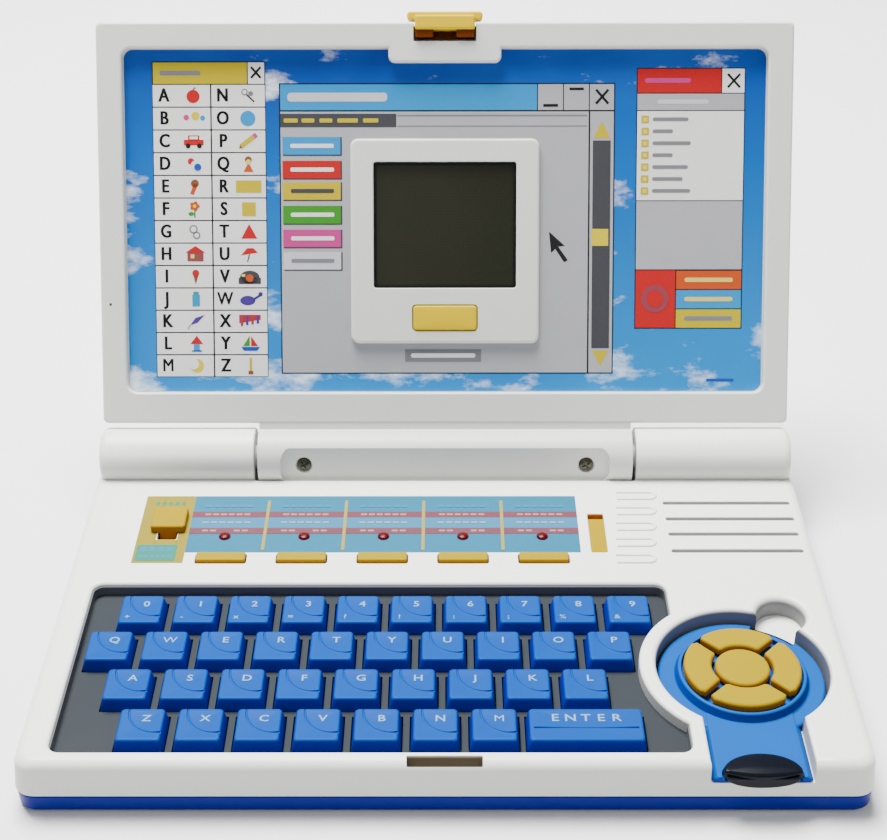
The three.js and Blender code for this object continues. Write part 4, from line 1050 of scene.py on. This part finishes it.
def make_latch():
    tongue = HINGE_Y + 4.5
    z0 = PIVOT[1] - 1.4
    body = soft(centred(11.6, tongue + 2, LID_Y1 + 2.4, 0.9), z0, LID_FACE + 2.4, 0.9, 0.3, 5)
    # Painted shade: the foot and prongs are yellow plastic coloured dark to show their shade under the block.
    foot = block(-11.6, 11.6, tongue - 0.8, tongue + 1.9, z0, PIVOT[1] + 1, 0.3, 3)
    for s in (-1, 1):
        a, b = sorted((s * 4.5, s * 11.4))
        prong = box_shape(a, b, tongue - 0.8, tongue + 1.9, 0.3)
        add(foot, soft(prong, PIVOT[1] + 0.8, LID_FACE + 1.4, 0.35, 0, 3))
    piece(foot, "latch_prongs", LATCH_SHADE, "latch")
    grip = centred(14.7, LID_Y1 + 0.8, LID_Y1 + 4.2, 1.4)
    add(body, soft(grip, PIVOT[1] - 2.4, LID_FACE - 1.4, 0.8, 0.8, 5))
    add(body, rod(-13.6, 13.6, PIVOT[0], PIVOT[1], 1.2, 24))
    for k in range(3):
        y = LID_Y1 + 4.2
        cut(body, rod(-9, 9, y + 0.1, PIVOT[1] + 0.2 + 1.3 * k, 0.3, 12))
    piece(body, "latch_block", LID_YELLOW_BRIGHTENED, "latch", ["lid_latch"])


make_latch()


# ---------------------------------------------------------------- printing on the card and on the casing
class Print:
    """Thin layers of ink. Every shape is a closed wafer; inks are material slots of one piece."""

    def __init__(self, z, step=0.05):
        self.bm = bmesh.new()
        self.z, self.step = z, step
        self.names = []

    def shape(self, pts, colour, layer=1):
        if colour not in self.names:
            self.names.append(colour)
        z0 = self.z
        z1 = self.z + self.step * layer
        low = [self.bm.verts.new((x, y, z0)) for x, y in pts]
        high = [self.bm.verts.new((x, y, z1)) for x, y in pts]
        n = len(pts)
        faces = [self.bm.faces.new(low[::-1]), self.bm.faces.new(high)]
        faces += [self.bm.faces.new((low[i], low[(i + 1) % n], high[(i + 1) % n], high[i])) for i in range(n)]
        for f in faces:
            f.material_index = self.names.index(colour)

    def bar(self, x0, x1, y0, y1, colour, layer=1, r=0.12):
        self.shape(outline(x0, x1, min(y0, y1), max(y0, y1), r, 2), colour, layer)

    def around(self, x0, x1, y0, y1, hole, colour, layer=1):
        """A bar with a rectangular hole."""
        a, b, c, d = hole
        self.bar(x0, a, y0, y1, colour, layer, 0.05)
        self.bar(b, x1, y0, y1, colour, layer, 0.05)
        self.bar(a, b, y0, c, colour, layer, 0.05)
        self.bar(a, b, d, y1, colour, layer, 0.05)

    def disc(self, x, y, r, colour, layer=1, wide=1.0):
        self.shape([(x + (a - x) * wide, b) for a, b in circle(x, y, r, 20)], colour, layer)

    def stroke(self, x0, y0, x1, y1, w, colour, layer=1):
        d = Vector((x1 - x0, y1 - y0)).normalized() * (w / 2)
        sides = [(x0 + d.y, y0 - d.x), (x1 + d.y, y1 - d.x), (x1 - d.y, y1 + d.x), (x0 - d.y, y0 + d.x)]
        self.shape(sides, colour, layer)

    def cross(self, x0, x1, y0, y1, w, colour, layer=1):
        self.stroke(x0, y0, x1, y1, w, colour, layer)
        self.stroke(x0, y1, x1, y0, w, colour, layer)

    def letter(self, text, x, y, size, colour, layer=1):
        if colour not in self.names:
            self.names.append(colour)
        me = glyph(text, size, self.step / 2, 0.82)
        me.transform(Matrix.Translation((x, y, self.z + self.step * (layer - 0.5))))
        start = len(self.bm.faces)
        self.bm.from_mesh(me)
        self.bm.faces.ensure_lookup_table()
        for f in self.bm.faces[start:]:
            f.material_index = self.names.index(colour)

    def done(self, name, body):
        bmesh.ops.recalc_face_normals(self.bm, faces=self.bm.faces)
        piece(from_bmesh(self.bm, name), name, [INKS[c] for c in self.names], body)


half, y0, y1 = PICTURE
hole = (-FRAME_HALF + 1, FRAME_HALF - 1, FRAME_Y[0] + 1, FRAME_Y[1] - 1)
sheet = centred(half - 0.35, y0 + 0.35, y1 - 0.35, 3.6, 10)
card = soft(sheet, FLOOR - 0.02, FLOOR + 0.22, 0.08, 0, 2)
cut(card, block(*hole, FLOOR - 1, FLOOR + 1, 2.5, 4))
cut(card, block(-21.0, 21.0, y1 - 4.8, y1 + 2, FLOOR - 1, FLOOR + 1, 2, 4))
piece(card, "picture_card", SKY, "lid")

p = Print(FLOOR + 0.2)


def dot(x, y, dx, dy, r, colour, layer=3, wide=1.0):
    p.disc(x + dx, y + dy, r, colour, layer, wide)


def box(x, y, x0, x1, y0, y1, colour, layer=3):
    p.bar(x + x0, x + x1, y + y0, y + y1, colour, layer, 0.2)


def line(x, y, x0, y0, x1, y1, width, colour, layer=3):
    p.stroke(x + x0, y + y0, x + x1, y + y1, width, colour, layer)


def area(x, y, pts, colour, layer=3):
    p.shape([(x + a, y + b) for a, b in pts], colour, layer)


# small generic pictures for the letter chart, each drawn round its own middle
ICONS = {
    "A": [(dot, 0, -0.3, 2.6, "red"), (line, 0, 2, 0.8, 3.2, 0.6, "green")],
    "B": [(dot, -2.8, 0.4, 1.1, "pink"), (dot, 0.8, 1.0, 1.6, "lemon"), (dot, 3.6, 0.2, 1.0, "cyan")],
    "C": [(box, -3.9, 3.9, -1.6, 0.6, "red"), (box, -2.2, 2.2, 0.4, 2.3, "red"),
          (box, -1.6, 1.6, 0.8, 1.9, "white", 4), (dot, -2.2, -1.8, 0.95, "black", 4),
          (dot, 2.2, -1.8, 0.95, "black", 4)],
    "D": [(dot, -1.2, 1.0, 1.3, "red"), (dot, 0.4, -0.4, 1.6, "white", 4), (dot, 1.4, -1.2, 1.4, "blue", 5)],
    "E": [(dot, 0.2, 1.2, 1.6, "brown"), (line, 0.6, 1, -1.0, -3, 1.6, "orange")],
    "F": [(line, 0, -3.2, 0, 0, 0.6, "green")]
         + [(dot, 1.2 * math.cos(k * 1.257), 1.2 + 1.2 * math.sin(k * 1.257), 0.8, "orange")
            for k in range(5)]
         + [(dot, 0, 1.2, 0.7, "lemon", 4), (dot, -1.4, -1.8, 0.8, "green", 3, 1.4)],
    "G": [(dot, -0.6, 1.0, 1.7, "mid"), (dot, -0.6, 1.0, 1.1, "white", 4), (dot, 0.6, -1.4, 1.5, "mid"),
          (dot, 0.6, -1.4, 0.9, "white", 4)],
    "H": [(area, [(-4.0, 0.6), (4.0, 0.6), (0, 3.3)], "red"), (box, -3.2, 3.2, -2.8, 0.7, "brick"),
          (box, -1.9, -0.4, -1.6, 0, "cream", 4), (box, 0.6, 1.8, -2.7, -0.2, "brown", 4)],
    "I": [(area, [(-1.0, 0.4), (1.0, 0.4), (0, -3.2)], "brown"), (dot, 0, 1.4, 1.4, "red")],
    "J": [(box, -1.5, 1.5, -2.9, 1.8, "aqua"), (box, -1.1, 1.1, 1.8, 2.9, "teal")],
    "K": [(area, [(-2.6, -1.6), (0.4, -0.6), (3.4, 2.6), (-0.4, 1.4)], "purple"),
          (line, -2.4, -1.6, -3.4, -3, 0.4, "pink")],
    "L": [(area, [(-2.6, -0.2), (2.6, -0.2), (0, 3.2)], "red"), (box, -1.2, 1.2, -2.8, -0.2, "cyan"),
          (box, -2, 2, -3.2, -2.6, "blue", 4)],
    "M": [(dot, 0, 0, 2.7, "lemon"), (dot, -1.3, 0.6, 2.1, "white", 4)],
    "N": [(dot, -1.2, 1.4, 1.3, "mid"), (dot, -1.2, 1.4, 0.8, "white", 4),
          (line, -0.4, 0.4, 2.6, -2.4, 0.7, "dark"), (dot, 1.2, 0.8, 1.0, "mid")],
    "O": [(dot, 0, 0, 3.0, "cyan")],
    "P": [(line, -2.8, -2.0, 2.8, 2.2, 1.9, "yellow"), (line, 2.2, 1.8, 3.3, 2.6, 1.9, "pink", 4),
          (area, [(-3.6, -2.8), (-2.2, -2.6), (-3.2, -1.3)], "brown", 4)],
    "Q": [(dot, 0, 1.6, 1.4, "brown"), (dot, 0, 0.8, 1.0, "cream", 4),
          (area, [(-2.0, -3.1), (2.0, -3.1), (0, 0.6)], "orange")],
    "R": [(box, -5.0, 5.0, -2.4, 2.4, "yellow")],
    "S": [(box, -2.7, 2.7, -2.7, 2.7, "yellow")],
    "T": [(area, [(-3.2, -2.7), (3.2, -2.7), (0, 3.1)], "red")],
    "U": [(area, [(-3.4, -0.4), (3.4, 0.6), (1.6, 2.4), (-0.9, 2.4)], "red"),
          (line, 0, 0, -0.8, -3, 0.5, "dark")],
    "V": [(dot, 0, -0.2, 2.6, "dark", 3, 1.5), (box, -4.4, 4.4, -2.9, -0.4, "dark"),
          (dot, 0, -0.6, 1.5, "orange", 4), (box, -3.2, -1.8, 0, 1, "cream", 4)],
    "W": [(dot, -0.9, -0.6, 1.9, "purple", 3, 1.6), (line, 1.4, -0.2, 4.2, 1.6, 1.0, "purple"),
          (dot, 4.2, 1.9, 0.9, "purple")],
    "X": [(area, [(-4.4, -0.8), (4.2, 0.6), (4.2, 2.6), (-4.4, 2.6)], "red")]
         + [(box, -3.8 + 2.1 * k, -2.8 + 2.1 * k, -1.8 + 0.3 * k, 2.4, "purple" if k % 2 else "brick", 4)
            for k in range(4)],
    "Y": [(area, [(-0.3, -1.0), (-0.3, 3.2), (-3.0, -1.0)], "green"),
          (area, [(0.2, -1.0), (0.2, 3.0), (3.0, -1.0)], "red"),
          (area, [(-3.8, -1.3), (3.8, -1.3), (2.6, -2.9), (-2.6, -2.9)], "blue")],
    "Z": [(box, -0.5, 0.5, -3.3, 3.3, "yellow"), (box, -1.0, 1.0, -3.4, -2.0, "brown", 4)],
}


# letter chart
cx0, cx1, cmid = -114.3, -70.0, -91.4
ctop, cbot = 154.8, 31.6
unit = (ctop - cbot) / 14
p.bar(cx0, cx1, cbot, ctop, "black", 1)
p.bar(cx0 + 0.45, cx1 - 7.2, ctop - unit + 0.2, ctop - 0.45, "yellow", 2)
p.bar(cx1 - 6.8, cx1 - 0.45, ctop - unit + 0.2, ctop - 0.45, "white", 2)
p.cross(cx1 - 5.6, cx1 - 1.8, ctop - unit + 2.4, ctop - 2.2, 0.9, "black", 3)
p.bar(cx0 + 3, cx0 + 19, ctop - 5.4, ctop - 3.6, "mid", 3, 0.7)
for k in range(13):
    top = ctop - unit * (k + 1)
    for col, (a, b) in enumerate(((cx0, cmid), (cmid, cx1))):
        p.bar(a + 0.3, b - 0.3, top - unit + 0.25, top - 0.25, "white", 2)
        ch = chr(65 + k + 13 * col)
        for dx in (-0.18, 0.18):
            p.letter(ch, a + 4.6 + dx, top - unit / 2, 7.2, "black", 3)
        for draw, *values in ICONS[ch]:
            draw(a + 16.0 - 1.6 * col, top - unit / 2, *values)

# middle window
wx0, wx1, wtop, wbot = -64.8, 66.5, 146.4, 32.8
p.around(wx0, wx1, wbot, wtop, hole, "black", 1)
p.around(wx0 + 0.5, wx1 - 0.5, wbot + 0.5, 135.4, hole, "grey", 2)
p.bar(wx0 + 0.5, 36.0, 136.0, wtop - 0.5, "cyan", 2)
for a, b in ((36.4, 46.1), (46.5, 56.2), (56.6, wx1 - 0.5)):
    p.bar(a, b, 136.0, wtop - 0.5, "grey", 2)
p.bar(38.4, 44.2, 137.2, 138.3, "black", 3)
p.bar(48.6, 54.2, 143.6, 144.6, "black", 3)
p.cross(59.0, 63.8, 138.4, 143.8, 1.0, "black", 3)
p.bar(-61.5, -22.5, 139.3, 142.7, "pale", 3, 1.2)
p.bar(wx0 + 0.5, -19.0, 129.4, 134.6, "dark", 3)
for a, b in ((-63, -57.5), (-56, -51), (-49, -44), (-42, -34), (-32, -26)):
    p.bar(a, b, 131.2, 132.8, "yellow", 4, 0.4)
p.bar(-18.6, 55.6, 133.6, 134.2, "mid", 3)
p.bar(-18.6, 55.6, 129.6, 130.0, "mid", 3)
for a, b, c, mark in ((118.8, 125.6, "cyan", "white"), (109.6, 116.4, "red", "white"),
                      (101.3, 108.1, "yellow", "dark"), (92.0, 98.9, "green", "white"),
                      (82.8, 89.6, "pink", "white"), (74.0, 80.8, "pale", "mid")):
    p.bar(-63.4, -40.3, a - 0.5, b, "dark", 3)
    p.bar(-63.6, -40.9, a, b, c, 4)
    p.bar(-60.5, -43.5, (a + b) / 2 - 0.8, (a + b) / 2 + 0.8, mark, 5, 0.5)
p.bar(56.2, 56.8, wbot, 135.4, "black", 3, 0.05)
p.bar(57.9, 64.9, 42.9, 124.2, "dark", 3)
p.bar(57.6, 64.2, 83.2, 89.8, "lemon", 4)
p.shape([(58.2, 125.2), (64.6, 125.2), (61.4, 131.8)], "yellow", 3)
p.shape([(58.2, 42.0), (61.4, 35.8), (64.6, 42.0)], "yellow", 3)
arrow = [(40.9, 88.8), (47.2, 83.2), (44.6, 82.9), (48.4, 77.6), (46.9, 76.8), (43.4, 82.0), (41.8, 80.4)]
p.shape(arrow, "black", 3)
p.bar(-15.8, 14.3, 37.5, 42.5, "mid", 3)
p.bar(-13.5, 12.0, 39.2, 40.9, "white", 4, 0.7)

# right window
rx0, rx1 = 74.8, 117.2
p.bar(rx0, rx1, 50.6, 152.2, "black", 1)
p.bar(rx0 + 0.4, 107.8, 142.6, 151.8, "red", 2)
p.bar(108.2, rx1 - 0.4, 142.6, 151.8, "white", 2)
p.cross(110.3, 115.1, 144.6, 149.8, 0.9, "black", 3)
p.bar(78, 96, 146.4, 148.2, "pink", 3, 0.8)
p.bar(rx0 + 0.4, rx1 - 0.4, 135.9, 142.2, "grey", 2)
p.bar(83, 103, 138.3, 140.0, "pale", 3, 0.7)
p.bar(rx0 + 0.4, rx1 - 0.4, 101.0, 135.5, "white", 2)
for k, w in enumerate((14, 8, 15, 8, 14, 12, 15)):
    yy = 132.4 - 4.62 * k
    p.bar(76.8, 79.8, yy - 1.6, yy + 1.4, "yellow", 3)
    p.bar(77.6, 79.0, yy - 0.9, yy + 0.6, "cream", 4)
    p.bar(81.2, 81.2 + w, yy - 0.8, yy + 0.7, "mid", 3, 0.6)
p.bar(rx0 + 0.4, rx1 - 0.4, 74.0, 100.6, "grey", 2)
p.bar(rx0 + 0.4, 90.8, 51.0, 73.6, "red", 2)
p.disc(82.8, 62.4, 5.4, "brick", 3)
p.disc(82.8, 62.4, 3.4, "red", 4)
for k, c in enumerate(("orange", "cyan", "yellow")):
    b = 66.2 - 7.6 * k
    p.bar(91.2, rx1 - 0.4, b, b + 7.2, c, 2)
    p.bar(94.5, 113.5, b + 2.8, b + 4.5, "cream" if k != 2 else "mid", 3, 0.7)
p.bar(103.5, 114.5, 29.6, 30.8, "blue", 1, 0.5)
p.done("card_printing", "lid")

# strip along the back of the casing
p = Print(TOP - 0.02, 0.06)
STRIP = (-96.5, 50.4)
p.bar(-115.5, -108.4, 96, 138, "strip_lemon", 1)
p.bar(-100.4, -96.5, 96, 138, "strip_lemon", 1)
p.bar(-108.5, -100.3, 96, 110.1, "strip_lemon", 1)
p.bar(-108.5, -100.3, 124.7, 138, "strip_lemon", 1)
for k in range(5):
    p.bar(-111.6 + 2.5 * k, -110.0 + 2.5 * k, 132.2, 134.0, "strip_teal", 2, 0.3)
p.bar(-114.6, -99.6, 97.2, 107.0, "strip_teal", 2, 0.8)
for k in range(4):
    p.bar(-113.2 + 3.2 * k, -110.9 + 3.2 * k, 102.6, 105.6, "strip_mist", 3, 0.5)
for k in range(6):
    p.bar(-113.2 + 2.1 * k, -111.8 + 2.1 * k, 98.7, 100.7, "strip_mist", 3, 0.3)
p.shape(outline(*STRIP, 102.3, 138, 0.3, 2), "strip_aqua", 1)
p.bar(*STRIP, 117.4, 124.2, "strip_mist", 2)
for yy in (125.9, 115.6):
    p.bar(*STRIP, yy - 1.8, yy + 1.8, "strip_brick", 3)
tx = [centre(f"theme_button_{k + 1}")[0] for k in range(5)]
for k in range(4):
    xm = (tx[k] + tx[k + 1]) / 2
    p.bar(xm - 0.6, xm + 0.6, 103.6, 134.8, "strip_cream", 4, 0.3)
for x in tx:
    for yy, wide, tone in ((131.2, 9.5, "strip_mist"), (125.9, 9, "strip_pale"), (120.8, 9.5, "strip_text"),
                           (115.6, 9, "strip_pale")):
        for k in range(6):
            a = x - wide + wide / 3 * k
            if yy > 116 or abs(a + 1.2 - x) > 3.6:
                p.bar(a, a + wide / 3 - 0.7, yy - 0.55, yy + 0.55, tone, 4, 0.3)
p.done("strip_printing", "base")


# ---------------------------------------------------------------- floor, light and camera
def make_floor():
    g = Graph("floor_paper")
    f = g.noise(9, 3, 0.5)
    g.colour(g.mix(g.remap(f, 0.3, 0.7, 0, 1), srgb(250, 250, 250), srgb(246, 246, 246)))
    g.set(Roughness=0.8, Specular_IOR_Level=0.1)
    bm = bmesh.new()
    bmesh.ops.create_grid(bm, x_segments=4, y_segments=4, size=3)
    floor = from_bmesh(bm, "floor")
    floor.data.materials.append(g.mat)


LIT = Vector((0, 0, 0.05))


def lamp(name, place, size, power):
    light = bpy.data.lights.new(name, "AREA")
    light.shape = "RECTANGLE"
    light.size, light.size_y = size
    light.energy = power
    obj = keep(bpy.data.objects.new(name, light))
    obj.location = place
    obj.rotation_euler = (LIT - Vector(place)).to_track_quat("-Z", "Y").to_euler()


make_floor()
lamp("key", (-0.25, 0.45, 1.5), (0.9, 0.7), 105)
lamp("fill", (0.9, -0.7, 1.0), (1.0, 1.0), 3.5)
lamp("front", (-0.5, -1.4, 1.0), (1.2, 0.8), 4)
world = bpy.data.worlds.new("studio")
bpy.context.scene.world = world
world.use_nodes = True
sky = world.node_tree.nodes["Background"]
sky.inputs[0].default_value = (1, 1, 1, 1)
sky.inputs[1].default_value = 0.24

cam = bpy.data.cameras.new("camera")
cam.lens = 67.16
cam.sensor_width = 36
eye = keep(bpy.data.objects.new("camera", cam))
eye.location = (0.00086, -0.50317, 0.39695)
eye.rotation_euler = (math.radians(56.898), math.radians(0.094), math.radians(0.092))
bpy.context.scene.camera = eye
